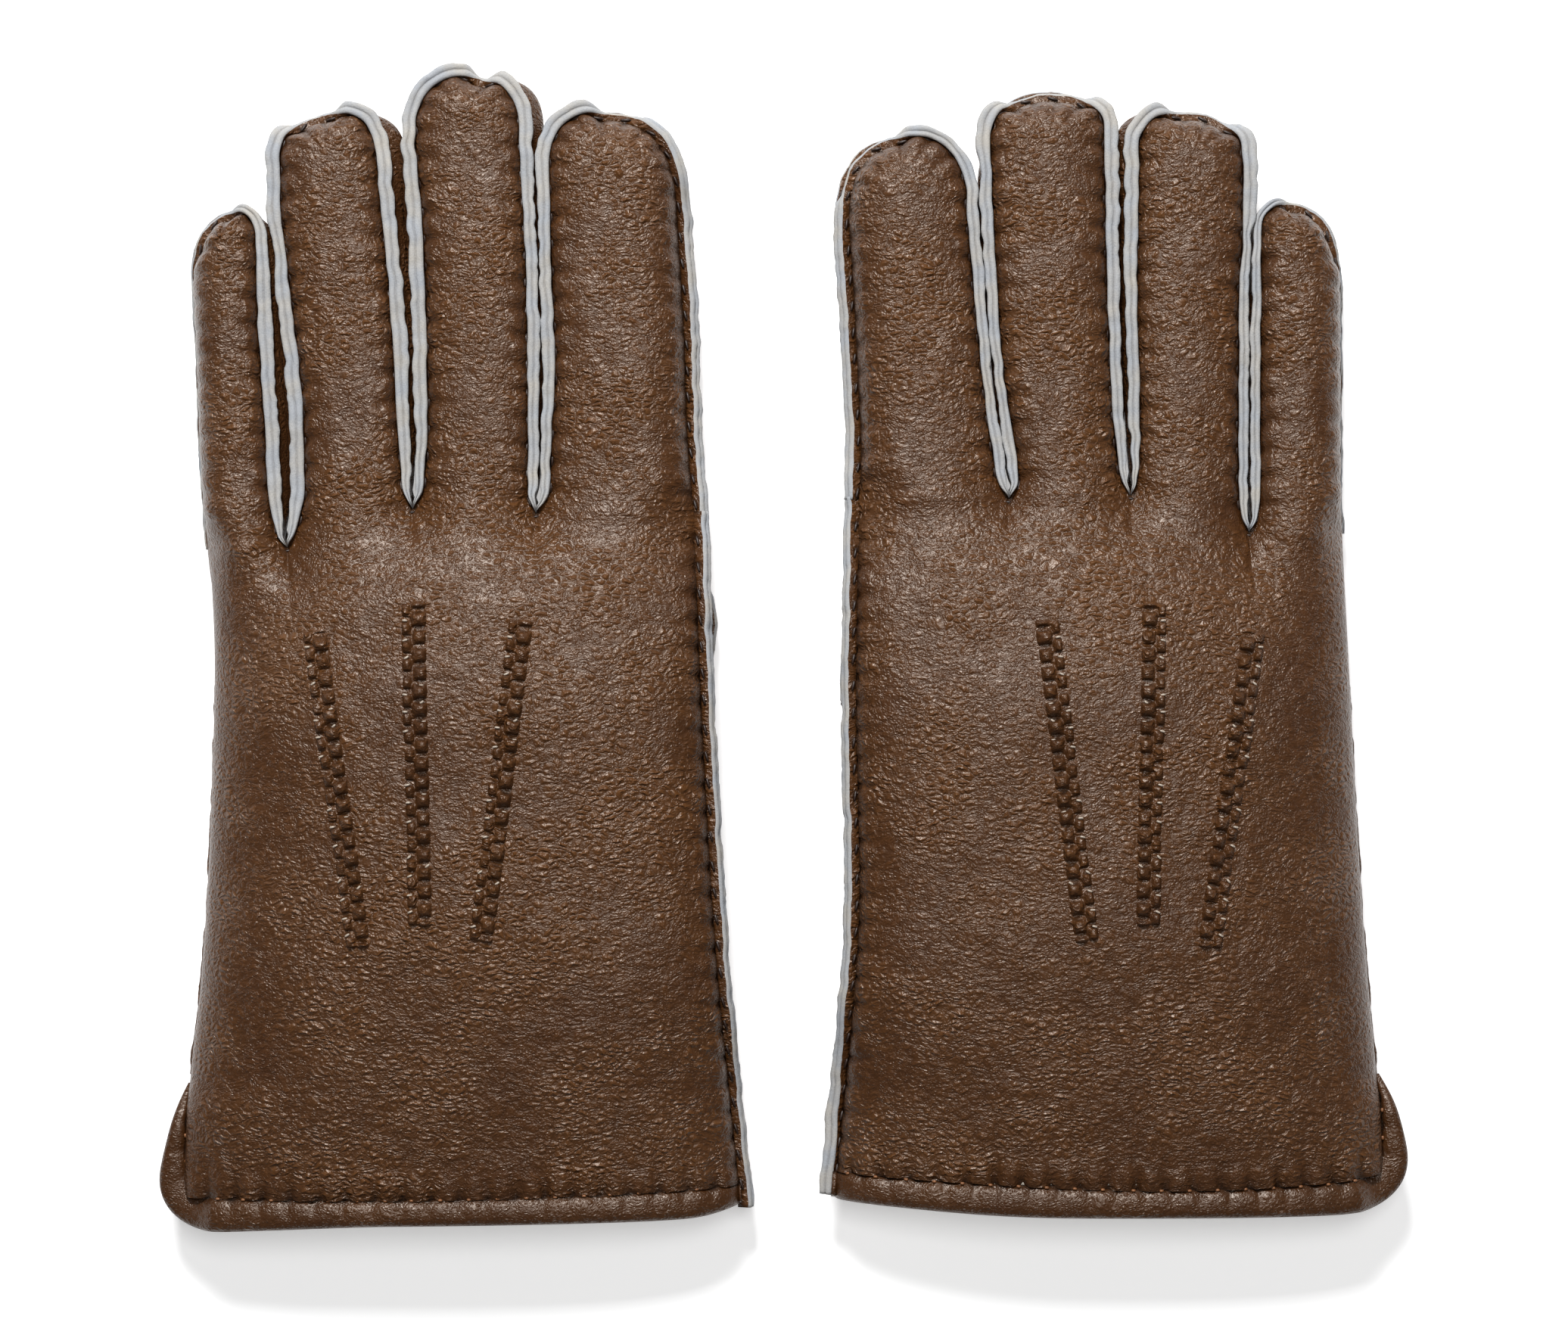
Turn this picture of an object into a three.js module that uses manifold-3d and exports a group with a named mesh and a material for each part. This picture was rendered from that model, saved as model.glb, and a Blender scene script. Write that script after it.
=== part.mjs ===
// A pair of gentlemen's shearling gloves lying on a table, backs up and thumbs tucked under the palms.
// Millimetres, +Z up from the table, +Y towards the fingertips, +X from the left glove to the right one.
// Each glove is an assembly of cut leather panels with a fleece behind them: a back and a palm panel,
// four fingers that bend at their roots, a thumb that swings out from under the palm, a bound cuff edge
// with a vent on the little finger's side, and three rows of raised stitching on the back of the hand.
import * as THREE from "three";
import { mergeVertices } from "three/addons/utils/BufferGeometryUtils.js";
import Module from "manifold-3d";

const wasm = await Module();
wasm.setup();

// ---- Driving sizes -------------------------------------------------------------------------------
const PAIR_SPACING = 146.4; // between the two gloves' centre lines
const LEATHER = 1.2; // thickness of the skin side
const FLEECE = 1.9; // thickness of the pressed wool behind it
const CLEARANCE = 0.3; // between pieces that touch
const FINGER_SPACING = 0.8; // between the fingers at their roots
const FINGER_THICKNESS = 20; // of a finger lying flat
const FOURCHETTE_HEIGHT = 8; // the strip between a finger's back and its palm
const HAND_THICKNESS = 31; // over the knuckle bones, thumb tucked under
const CUFF_THICKNESS = 24; // at the bound edge
const CUFF_Y = -124.8; // where the back panel ends and the binding begins
const FINGER_FLEXION = 60; // degrees, towards the palm
const FINGER_EXTENSION = 15; // degrees, towards the back
const THUMB_THICKNESS = 13.6; // of the flattened thumb
const THUMB_WIDTH = 31.5;
const HEM_WIDTH = 7; // of the bound edge, seen from above
const HEM_THICKNESS = 3.8;
const VENT_LENGTH = 26; // slit up the little finger's side from the cuff
const VENT_GAP = 5.4; // between the two bound edges of the vent
const POINT_WIDTH = 5.8; // of a double row of raised stitches
const POINT_HEIGHT = 0.9;
const THREAD = 0.9; // diameter of the side seam's waxed thread

// Across the hand, q runs towards the thumb's side from the glove's centre line.
// Each edge is a list of [y, q], from the cuff up to the roots of the fingers.
const GLOVES = [
  {
    side: "left",
    toThumb: 1,
    littleEdge: [[CUFF_Y, -62.6], [-101, -61.4], [-59, -58.5], [-15, -57.3], [20, -59.6]],
    indexEdge: [[CUFF_Y, 65.2], [-97, 62], [-56, 58.6], [-15, 56.5], [20, 54.8]],
    fingersFrom: -60.6, // the little finger's outer edge at its root
    fingers: [
      { name: "little", width: 19.3, tipWidth: 18.6, root: 36, tip: 100.4, lean: -3.5, round: 0.5 },
      { name: "ring", width: 28.2, tipWidth: 27.6, root: 44, tip: 124.3, lean: -5.5, round: 0.5 },
      { name: "middle", width: 27.8, tipWidth: 28.8, root: 44, tip: 132.5, lean: -1.7, round: 0.32 },
      { name: "index", width: 37.4, tipWidth: 33, root: 44, tip: 122.8, lean: -2.4, round: 0.42 },
    ],
  },
  {
    side: "right",
    toThumb: -1,
    littleEdge: [[CUFF_Y, -62.6], [-97, -62.2], [-59, -60.4], [-15, -57], [20, -55]],
    indexEdge: [[CUFF_Y, 63.6], [-97, 60.6], [-56, 58], [-15, 58.2], [20, 58.4]],
    fingersFrom: -55,
    fingers: [
      { name: "little", width: 21.2, tipWidth: 20.8, root: 38, tip: 102.4, lean: 0, round: 0.6 },
      { name: "ring", width: 26.4, tipWidth: 27.8, root: 46, tip: 122, lean: 0.2, round: 0.42 },
      { name: "middle", width: 26.8, tipWidth: 30.2, root: 46, tip: 126.8, lean: 5, round: 0.32 },
      { name: "index", width: 35.8, tipWidth: 29.8, root: 46, tip: 116, lean: 5.7, round: 0.42 },
    ],
  },
];
// The three raised rows on the back of the hand: [q, y] of the top and bottom of each.
const POINTS = [
  { name: "little", top: [-32.5, 4.5], bottom: [-22, -67.5] },
  { name: "middle", top: [-10, 11], bottom: [-8.2, -62.5] },
  { name: "index", top: [14.3, 7], bottom: [5.4, -66] },
];
// The thumb under the palm: its centre line, and the fold that it swings about.
const THUMB_ROOT = [47.5, -56];
const THUMB_TIP = [39.5, 20];
const FOLD_LOW = [39, -82];
const FOLD_HIGH = [61, -15];
const HEIGHT_STATIONS = [[CUFF_Y, CUFF_THICKNESS], [-95, 28], [-60, HAND_THICKNESS], [-20, HAND_THICKNESS],
  [8, 27.5], [30, FINGER_THICKNESS + 1.5]]; // the hand's thickness, [y, z]
const CROTCH_LITTLE_Y = 21; // where the gap beside the little finger ends
const CROTCH_Y = 32; // where the other gaps end

const COLOURS = { leather: 0x5b3a24, fleece: 0xe9e4d8, thread: 0x3a2416 };
const LEATHER_LOOK = { color: COLOURS.leather, roughness: 0.5, metalness: 0 };
const FLEECE_LOOK = { color: COLOURS.fleece, roughness: 0.95, metalness: 0 };
const THREAD_LOOK = { color: COLOURS.thread, roughness: 0.6, metalness: 0 };

// ---- Values that follow from the sizes ---------------------------------------------------------
const FINGER_HALF = FINGER_THICKNESS / 2;
const FLEECE_INSET = LEATHER + CLEARANCE; // from the outer surface to the fleece
const CAVITY_INSET = FLEECE_INSET + FLEECE; // from the outer surface to the hand's space
const turn = THREE.MathUtils.degToRad;
// At full flexion a finger's lower corner passes inside the palm's edge, and at full extension its
// upper corner sweeps back towards the back panel's edge.
const PALM_GAP = FINGER_HALF * Math.tan(turn(FINGER_FLEXION / 2)) + 3 * CLEARANCE;
const BACK_GAP = FINGER_HALF * Math.sin(turn(FINGER_EXTENSION)) + 2 * CLEARANCE;
const FLEECE_GAP = PALM_GAP + 2;
const FLEECE_START = 3; // the finger's fleece begins this far past its root
const BED_Z = THUMB_THICKNESS + 2 * CLEARANCE; // underside of the palm over the thumb
const STUB_LENGTH = 26; // of a finger's root within the hand
const FAR = 200; // reach of a cutting solid
const SEAM_OVER_THUMB = (BED_Z + HAND_THICKNESS) / 2;
// Height of the seam on the index finger's side, [y, z]: it rises over the tucked thumb.
const SIDE_SEAM = [[-FAR, 11], [-110, 12], [-80, SEAM_OVER_THUMB], [8, SEAM_OVER_THUMB], [30, FINGER_HALF],
  [FAR, FINGER_HALF]];
const SEAM_RISE = [-8, 14]; // across the hand, the q between which the seam's height changes sides
const SIDE_THREAD_END = 12;

// ---- Geometry helpers --------------------------------------------------------------------------
const mix = (a, b, t) => a + (b - a) * t;

/** Straight-line interpolation in a list of [at, value]. */
function follow(stations, at) {
  const last = stations.length - 1;
  const i = stations.findIndex(([s], k) => k === last || at <= stations[k + 1][0]);
  const [a, b] = [stations[Math.min(i, last - 1)], stations[Math.min(i, last - 1) + 1]];
  return mix(a[1], b[1], THREE.MathUtils.clamp((at - a[0]) / (b[0] - a[0]), 0, 1));
}

/** A point of a superellipse with half sizes a and b, at an angle. */
function squircle(a, b, angle, power = 2.5) {
  const [c, s] = [Math.cos(angle), Math.sin(angle)];
  const share = 2 / power;
  return [a * Math.sign(c) * Math.abs(c) ** share, b * Math.sign(s) * Math.abs(s) ** share];
}

const circle = (count, place) => Array.from({ length: count }, (_, i) => place((2 * Math.PI * i) / count));

/** A closed solid through rings of equal point counts, with a fan over each end. */
function loft(rings) {
  const count = rings[0].length;
  const positions = rings.flat().flatMap((p) => [p.x, p.y, p.z]);
  const faces = [];
  for (let r = 0; r + 1 < rings.length; r++)
    for (let i = 0; i < count; i++) {
      const [a, b] = [r * count + i, r * count + ((i + 1) % count)];
      faces.push(a, b, b + count, a, b + count, a + count);
    }
  for (const [ring, flip] of [[0, true], [rings.length - 1, false]]) {
    const middle = rings[ring].reduce((sum, p) => sum.add(p), new THREE.Vector3()).divideScalar(count);
    const hub = positions.push(middle.x, middle.y, middle.z) / 3 - 1;
    for (let i = 0; i < count; i++) {
      const [a, b] = [ring * count + i, ring * count + ((i + 1) % count)];
      faces.push(...(flip ? [b, a, hub] : [a, b, hub]));
    }
  }
  const shape = new THREE.BufferGeometry();
  shape.setAttribute("position", new THREE.Float32BufferAttribute(positions, 3));
  return solid(shape.setIndex(faces));
}

/** A three.js geometry as a manifold, its faces turned outwards. */
function solid(geometry) {
  const bare = geometry.clone().deleteAttribute("normal").deleteAttribute("uv");
  const merged = mergeVertices(bare, 1e-4);
  const triVerts = new Uint32Array(merged.index.array);
  const make = () =>
    new wasm.Manifold(new wasm.Mesh({ numProp: 3, vertProperties: merged.attributes.position.array, triVerts }));
  const made = make();
  if (made.volume() > 0) return made;
  for (let i = 0; i < triVerts.length; i += 3)
    [triVerts[i + 1], triVerts[i + 2]] = [triVerts[i + 2], triVerts[i + 1]];
  return make();
}

/** A manifold as a three.js mesh, in the frame that it was made in. */
function meshOf(name, body, look) {
  const { numProp, numVert, vertProperties, triVerts } = body.getMesh();
  const positions = new Float32Array(numVert * 3);
  for (let i = 0; i < numVert; i++)
    positions.set(vertProperties.subarray(i * numProp, i * numProp + 3), i * 3);
  const geometry = new THREE.BufferGeometry();
  geometry.setAttribute("position", new THREE.BufferAttribute(positions, 3));
  geometry.setIndex(new THREE.BufferAttribute(triVerts, 1));
  const mesh = new THREE.Mesh(geometry, new THREE.MeshStandardMaterial(look));
  mesh.name = name;
  return mesh;
}

/** A box between two corners, optionally moved by a matrix. */
function block(low, high, matrix) {
  const size = high.map((h, k) => h - low[k]);
  const box = new THREE.BoxGeometry(...size).translate(...low.map((l, k) => l + size[k] / 2));
  return solid(matrix ? box.applyMatrix4(matrix) : box);
}

const joined = (bodies) => bodies.reduce((sum, body) => sum.add(body));

/** A solid of round section along a path. `across(i)` points along its wide side and is half that long. */
function sweep(path, across, halfUp, sides = 8) {
  const rings = path.map((point, i) => {
    const ahead = path[Math.min(i + 1, path.length - 1)].clone().sub(path[Math.max(i - 1, 0)]).normalize();
    const wide = across(i).clone().addScaledVector(ahead, -across(i).dot(ahead)).normalize();
    const up = new THREE.Vector3().crossVectors(ahead, wide);
    return circle(sides, (angle) => {
      const [u, v] = squircle(across(i).length(), halfUp, angle, 2.2);
      return point.clone().addScaledVector(wide, u).addScaledVector(up, v);
    });
  });
  return loft(rings);
}

// ---- One finger ----------------------------------------------------------------------------------
// In its own frame the finger's root hinge is the origin and +Y runs along the finger.
const TIP_STEPS = [0, 0.62, 0.95]; // how far round the fingertip's arc each ring stands
const FINGER_SIDES = 12;

/** The finger's outer form, taken in by an inset, from a start (behind the root if negative) to its tip. */
function fingerForm(finger, toThumb, inset, start) {
  const length = finger.tip - finger.root;
  const cap = finger.tipWidth * finger.round;
  const ring = (y, share) => {
    const half = mix(finger.width, finger.tipWidth, Math.max(y, 0) / length) / 2;
    const flat = Math.sqrt(share); // the tip stays thick for longer than it stays wide
    return circle(FINGER_SIDES, (angle) => {
      const [q, z] = squircle((half - inset) * share, (FINGER_HALF - inset) * flat, angle);
      return new THREE.Vector3(toThumb * q, y, z);
    });
  };
  const body = [start, mix(start, length - cap, 0.5)].map((y) => ring(y, 1));
  const tip = TIP_STEPS.map((s) => ring(length - cap + (cap - inset) * s, Math.sqrt(1 - s * s)));
  return loft([...body, ...tip]);
}

/** The tube behind a finger's root, which narrows into the hand; it runs on past the root by `past`. */
function fingerStub(finger, toThumb, inset, past) {
  const ring = (y, share) =>
    circle(FINGER_SIDES, (angle) => {
      const [q, z] = squircle(finger.width / 2 - inset, FINGER_HALF - inset, angle);
      return new THREE.Vector3(toThumb * q * share, y, z * share);
    });
  return loft([ring(-STUB_LENGTH + inset, 0.6), ring(-STUB_LENGTH / 2, 0.99), ring(past, 1)]);
}

/** The cut pieces of one finger, as a group placed at its root. */
function fingerGroup(glove, finger, frame) {
  const named = `${glove.side}_${finger.name}`;
  const { toThumb } = glove;
  const shell = fingerForm(finger, toThumb, 0, 0).subtract(fingerForm(finger, toThumb, LEATHER, -1));
  const gapSides = { little: [1], ring: [-1, 1], middle: [-1, 1], index: [-1] }[finger.name];
  const strip = FOURCHETTE_HEIGHT / 2;
  const half = CLEARANCE / 2;
  // The space of the fourchette on one side of the centre line, grown or shrunk by a margin.
  const stripSpace = (towards, margin, from) =>
    block(
      [Math.min(from, FAR * towards * toThumb), -FAR, -strip - margin],
      [Math.max(from, FAR * towards * toThumb), FAR, strip + margin],
    );
  const taken = gapSides.map((side) => stripSpace(side, half, -side * toThumb * half));
  const upper = block([-FAR, -FAR, half], [FAR, FAR, FAR]);
  const lower = block([-FAR, -FAR, -FAR], [FAR, FAR, -half]);
  const group = new THREE.Group();
  const back = taken.reduce((left, cut) => left.subtract(cut), shell.intersect(upper));
  const palm = taken.reduce((left, cut) => left.subtract(cut), shell.intersect(lower));
  group.add(meshOf(`${named}_back`, back, LEATHER_LOOK), meshOf(`${named}_palm`, palm, LEATHER_LOOK));
  for (const side of gapSides) {
    const strip_ = shell.intersect(stripSpace(side, -half, side * toThumb * CLEARANCE));
    const label = side > 0 ? "thumbward" : "outward";
    group.add(meshOf(`${named}_fourchette_${label}`, strip_, LEATHER_LOOK));
  }
  const fleece = fingerForm(finger, toThumb, FLEECE_INSET, FLEECE_START)
    .subtract(fingerForm(finger, toThumb, CAVITY_INSET, FLEECE_START - 1));
  group.add(meshOf(`${named}_fleece`, fleece, FLEECE_LOOK));
  group.applyMatrix4(frame);
  return group;
}

/** Where each finger of a glove stands: a matrix that carries its own frame into the glove's. */
function fingerFrames(glove) {
  let edge = glove.fingersFrom;
  return glove.fingers.map((finger) => {
    const q = edge + finger.width / 2;
    edge += finger.width + FINGER_SPACING;
    const angle = -glove.toThumb * Math.atan2(finger.lean, finger.tip - finger.root);
    return new THREE.Matrix4()
      .makeRotationZ(angle)
      .setPosition(glove.toThumb * q, finger.root, FINGER_HALF);
  });
}

// ---- The hand ------------------------------------------------------------------------------------
const HAND_SIDES = 16;
const HAND_STATIONS = [CUFF_Y, -95, -60, -20, 8]; // the same turns as HEIGHT_STATIONS

/** Y of the hand's front, where the gaps between the fingers end. */
function crotchLine(q, edge) {
  const t = THREE.MathUtils.clamp((q - edge) / 46, 0, 1);
  return mix(CROTCH_LITTLE_Y, CROTCH_Y, t);
}

/** Height of the widest line of the hand's section, where the back panel meets the palm panel. */
function seamZ(q, y) {
  return follow([[SEAM_RISE[0], FINGER_HALF], [SEAM_RISE[1], follow(SIDE_SEAM, y)]], q);
}

/** The hand's outer surface: its q and z at an angle round its section, at a station along it. */
function handSection(glove, y, angle, inset) {
  const [low, high] = [follow(glove.littleEdge, y), follow(glove.indexEdge, y)];
  const [u, v] = squircle((high - low) / 2 - inset, 1, angle);
  const q = (low + high) / 2 + u;
  const seam = seamZ(q, y);
  const reach = v > 0 ? follow(HEIGHT_STATIONS, y) - seam : seam;
  return [q, seam + v * (reach - inset)];
}

/** The hand's form without fingers, taken in by an inset; `open` runs it on past the cuff. */
function handForm(glove, inset, open = 0) {
  const { toThumb, littleEdge } = glove;
  const point = (station, front, angle) => {
    const [q, z] = handSection(glove, station, angle, inset);
    const y = front ? crotchLine(q, follow(littleEdge, station)) - inset : station;
    return new THREE.Vector3(toThumb * q, y, z);
  };
  const rings = HAND_STATIONS.map((y) => circle(HAND_SIDES, (angle) => point(y, false, angle)));
  rings.push(circle(HAND_SIDES, (angle) => point(CROTCH_Y, true, angle)));
  if (open) rings.unshift(rings[0].map((p) => p.clone().setY(p.y - open)));
  return loft(rings);
}

/** The hollow that the tucked thumb presses into the palm, with sloping sides, grown by a margin. */
function thumbBed(glove, margin) {
  const slope = 5; // how far the sides run out from top to bottom
  const outline = [[18, -80], [28, -88], [FAR, -88], [FAR, 26], [34, 30], [22, 18]];
  const middle = [45, -36];
  const ring = (z, grow) =>
    outline.map(([q, y]) => {
      const away = new THREE.Vector2(q - middle[0], y - middle[1]);
      away.setLength(away.length() + grow);
      return new THREE.Vector3(glove.toThumb * (middle[0] + away.x), middle[1] + away.y, z);
    });
  return loft([ring(-FAR, margin + slope), ring(0, margin + slope), ring(BED_Z + margin, margin)]);
}

/** Everything below the line where the back panel meets the palm panel, raised by a margin. */
function palmSide(glove, margin) {
  return loft(
    SIDE_SEAM.map(([y]) => {
      const edge = [-FAR, ...SEAM_RISE, FAR].map((q) => [q, seamZ(q, y) + margin]);
      return [[-FAR, -FAR], ...edge, [FAR, -FAR]].map(([q, z]) => new THREE.Vector3(glove.toThumb * q, y, z));
    }),
  );
}

/** Height of the hand's upper surface at a point. */
function topAt(glove, q, y) {
  const [low, high] = [follow(glove.littleEdge, y), follow(glove.indexEdge, y)];
  const share = Math.min(Math.abs(q - (low + high) / 2) / ((high - low) / 2), 1);
  const seam = seamZ(q, y);
  return seam + (follow(HEIGHT_STATIONS, y) - seam) * (1 - share ** 2.5) ** (1 / 2.5);
}

/** The oval hole in the palm that opens into the thumb. */
function thumbHole(glove) {
  const [centre, half] = [[38, -48], [8, 22]];
  const ring = (z) =>
    circle(16, (angle) => {
      const [u, v] = squircle(...half, angle, 2);
      const lean = (v * (FOLD_HIGH[0] - FOLD_LOW[0])) / (FOLD_HIGH[1] - FOLD_LOW[1]);
      return new THREE.Vector3(glove.toThumb * (centre[0] + u + lean), centre[1] + v, z);
    });
  return loft([ring(BED_Z - 2), ring(BED_Z + CAVITY_INSET + 2)]);
}

/** The leather panels, fleece and trim that stay with the hand. */
function handMeshes(glove, frames) {
  const { side, toThumb, fingers } = glove;
  const withStubs = (inset, open) =>
    joined([
      handForm(glove, inset, open),
      ...fingers.map((f, i) => fingerStub(f, toThumb, inset, open).transform(frames[i].elements)),
    ]);
  // What the fingers' roots need clear: more on the palm side, where they fold in.
  const clear = (i, backGap, palmGap) => {
    const reach = fingers[i].width / 2 + 0.4;
    const bend = FINGER_HALF + 6;
    return joined([
      block([-reach, -backGap, -0.5], [reach, FAR, bend], frames[i]),
      block([-reach, -palmGap, -bend], [reach, FAR, 0], frames[i]),
    ]);
  };
  const roots = joined(fingers.map((_, i) => clear(i, BACK_GAP, PALM_GAP)));
  const fleeceRoots = joined(fingers.map((_, i) => clear(i, FLEECE_GAP, FLEECE_GAP)));
  const form = withStubs(0, 0).subtract(thumbBed(glove, 0));
  const hollow = withStubs(LEATHER, 1).subtract(thumbBed(glove, LEATHER));
  const vent = block(
    [toThumb > 0 ? -FAR : 45, CUFF_Y - 5, FINGER_HALF - VENT_GAP * 0.7],
    [toThumb > 0 ? -45 : FAR, CUFF_Y + VENT_LENGTH - 2, FINGER_HALF + VENT_GAP * 0.7],
  );
  const shell = form.subtract(hollow).subtract(roots).subtract(vent).subtract(thumbHole(glove));
  const half = CLEARANCE / 2;
  const back = shell.subtract(palmSide(glove, half));
  const palm = shell.intersect(palmSide(glove, -half));
  const fleece = withStubs(FLEECE_INSET, 0)
    .subtract(thumbBed(glove, FLEECE_INSET))
    .subtract(withStubs(CAVITY_INSET, 1).subtract(thumbBed(glove, CAVITY_INSET)))
    .subtract(fleeceRoots)
    .subtract(vent)
    .subtract(thumbHole(glove));
  return [
    meshOf(`${side}_back_panel`, back, LEATHER_LOOK),
    meshOf(`${side}_palm_panel`, palm, LEATHER_LOOK),
    meshOf(`${side}_hand_fleece`, fleece, FLEECE_LOOK),
  ];
}

/** The bound edges of the cuff: each runs across its panel and then up its side of the vent. */
function hemMeshes(glove) {
  const { side, toThumb } = glove;
  const [low, high] = [follow(glove.littleEdge, CUFF_Y), follow(glove.indexEdge, CUFF_Y)];
  const centre = (low + high) / 2;
  const y = CUFF_Y - HEM_WIDTH / 2 - CLEARANCE;
  const radius = HEM_WIDTH / 2 + 1.5;
  const halfUp = HEM_THICKNESS / 2;
  const ventTop = CUFF_Y + VENT_LENGTH;
  return ["back", "palm"].map((panel) => {
    const towards = panel === "back" ? 1 : -1;
    const ventZ = FINGER_HALF + towards * (halfUp + VENT_GAP / 2);
    const surface = (q) => {
      const top = topAt(glove, q, CUFF_Y);
      const rise = (top - seamZ(q, CUFF_Y)) / (CUFF_THICKNESS - seamZ(q, CUFF_Y));
      const z = (panel === "back" ? top : seamZ(q, CUFF_Y) * (1 - rise)) - towards * halfUp;
      const closest = q < centre ? ventZ : seamZ(q, CUFF_Y) + towards * (halfUp + CLEARANCE);
      return towards * Math.max(towards * z, towards * closest);
    };
    const path = [];
    const wide = [];
    const add = (q, at, z, across) => {
      path.push(new THREE.Vector3(toThumb * q, at, z));
      wide.push(new THREE.Vector3(toThumb * across[0], across[1], 0));
    };
    const steps = 8;
    for (let i = 0; i <= steps; i++) {
      const q = mix(high - 2.5, low + 2, i / steps);
      add(q, y, surface(q), [0, HEM_WIDTH / 2]);
    }
    const cornerQ = low - HEM_WIDTH / 2 + 0.1;
    for (const angle of [30, 60, 90]) {
      const [c, s] = [Math.cos(turn(angle)), Math.sin(turn(angle))];
      add(cornerQ + radius * (1 - s), y + radius * (1 - c), ventZ, [(HEM_WIDTH / 2) * s, (HEM_WIDTH / 2) * c]);
    }
    for (const [share, narrowed] of [[0.5, 0.8], [1, 0.5]]) {
      const at = mix(y + radius, ventTop, share);
      const wideHalf = (HEM_WIDTH / 2) * narrowed;
      add(follow(glove.littleEdge, at) - wideHalf + 0.1, at, ventZ, [wideHalf, 0]);
    }
    return meshOf(`${side}_hem_${panel}`, sweep(path, (i) => wide[i], halfUp), LEATHER_LOOK);
  });
}

/** The three raised double rows on the back of the hand. */
function pointMeshes(glove) {
  return POINTS.map(({ name, top, bottom }) => {
    const turns = HAND_STATIONS.filter((y) => y > bottom[1] && y < top[1]); // where the hand's slope changes
    const path = [bottom[1], ...turns, top[1]].map((y) => {
      const q = mix(bottom[0], top[0], (y - bottom[1]) / (top[1] - bottom[1]));
      return new THREE.Vector3(glove.toThumb * q, y, topAt(glove, q, y) + POINT_HEIGHT / 2 + 2 * CLEARANCE);
    });
    const across = new THREE.Vector3(POINT_WIDTH / 2, 0, 0);
    return meshOf(`${glove.side}_points_${name}`, sweep(path, () => across, POINT_HEIGHT / 2, 6), THREAD_LOOK);
  });
}

/** The thread along the outer seam on the index finger's side of the hand. */
function sideThread(glove) {
  const path = Array.from({ length: 9 }, (_, i) => {
    const y = mix(CUFF_Y + 1, SIDE_THREAD_END, i / 8);
    const q = follow(glove.indexEdge, y) + THREAD / 2 + 2 * CLEARANCE;
    return new THREE.Vector3(glove.toThumb * q, y, follow(SIDE_SEAM, y));
  });
  const across = new THREE.Vector3(THREAD / 2, 0, 0);
  return meshOf(`${glove.side}_side_thread`, sweep(path, () => across, THREAD / 2, 6), THREAD_LOOK);
}

// ---- The thumb -----------------------------------------------------------------------------------
/** The tucked thumb's form, taken in by an inset; its root end runs on past the fold. */
function thumbForm(glove, inset) {
  const root = new THREE.Vector2(...THUMB_ROOT);
  const along = new THREE.Vector2(...THUMB_TIP).sub(root);
  const length = along.length();
  along.normalize();
  const across = new THREE.Vector2(along.y, -along.x);
  const cap = THUMB_WIDTH * 0.48;
  const ring = (at, share) =>
    circle(FINGER_SIDES, (angle) => {
      const half = mix(THUMB_WIDTH, THUMB_WIDTH * 0.86, Math.max(at, 0) / length) / 2;
      const [u, v] = squircle((half - inset) * share, (THUMB_THICKNESS / 2 - inset) * Math.sqrt(share), angle);
      const place = root.clone().addScaledVector(along, at).addScaledVector(across, u);
      return new THREE.Vector3(glove.toThumb * place.x, place.y, THUMB_THICKNESS / 2 + v);
    });
  const rings = [-24 - (inset ? 1 : 0), 5, length - cap].map((at) => ring(at, 1));
  return loft([...rings, ...TIP_STEPS.slice(1).map((s) => ring(length - cap + (cap - inset) * s, Math.sqrt(1 - s * s)))]);
}

/** What is cut from the thumb's root, so that it can swing about the fold without meeting the palm. */
function foldWedge(glove, margin) {
  const low = new THREE.Vector2(...FOLD_LOW);
  const along = new THREE.Vector2(...FOLD_HIGH).sub(low).normalize();
  const inward = new THREE.Vector2(-along.y, along.x);
  const z = BED_Z + 0.7;
  const ring = (at) =>
    [[margin, z], [margin + z + 1, -1], [-FAR, -1], [-FAR, z]].map(([into, high]) => {
      const place = low.clone().addScaledVector(along, at).addScaledVector(inward, into);
      return new THREE.Vector3(glove.toThumb * place.x, place.y, high);
    });
  return loft([ring(-FAR), ring(FAR)]);
}

/** The thumb's two leather pieces and its fleece. */
function thumbMeshes(glove) {
  const outer = thumbForm(glove, 0);
  const wedge = foldWedge(glove, 0.7);
  const shell = outer.subtract(thumbForm(glove, LEATHER)).subtract(wedge);
  const middle = THUMB_THICKNESS / 2;
  const half = CLEARANCE / 2;
  const upper = shell.intersect(block([-FAR, -FAR, middle + half], [FAR, FAR, FAR]));
  const lower = shell.intersect(block([-FAR, -FAR, -FAR], [FAR, FAR, middle - half]));
  const fleece = thumbForm(glove, FLEECE_INSET).subtract(thumbForm(glove, CAVITY_INSET)).subtract(foldWedge(glove, 3));
  return [
    meshOf(`${glove.side}_thumb_inside`, upper, LEATHER_LOOK),
    meshOf(`${glove.side}_thumb_outside`, lower, LEATHER_LOOK),
    meshOf(`${glove.side}_thumb_fleece`, fleece, FLEECE_LOOK),
  ];
}

// ---- The pair ------------------------------------------------------------------------------------
function gloveGroup(glove) {
  const group = new THREE.Group();
  const frames = fingerFrames(glove);
  group.add(...handMeshes(glove, frames), ...hemMeshes(glove), ...pointMeshes(glove), sideThread(glove));
  glove.fingers.forEach((finger, i) => group.add(fingerGroup(glove, finger, frames[i])));
  group.add(...thumbMeshes(glove));
  group.position.x = (-glove.toThumb * PAIR_SPACING) / 2;
  return group;
}

const pair = new THREE.Group();
pair.add(...GLOVES.map(gloveGroup));
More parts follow.
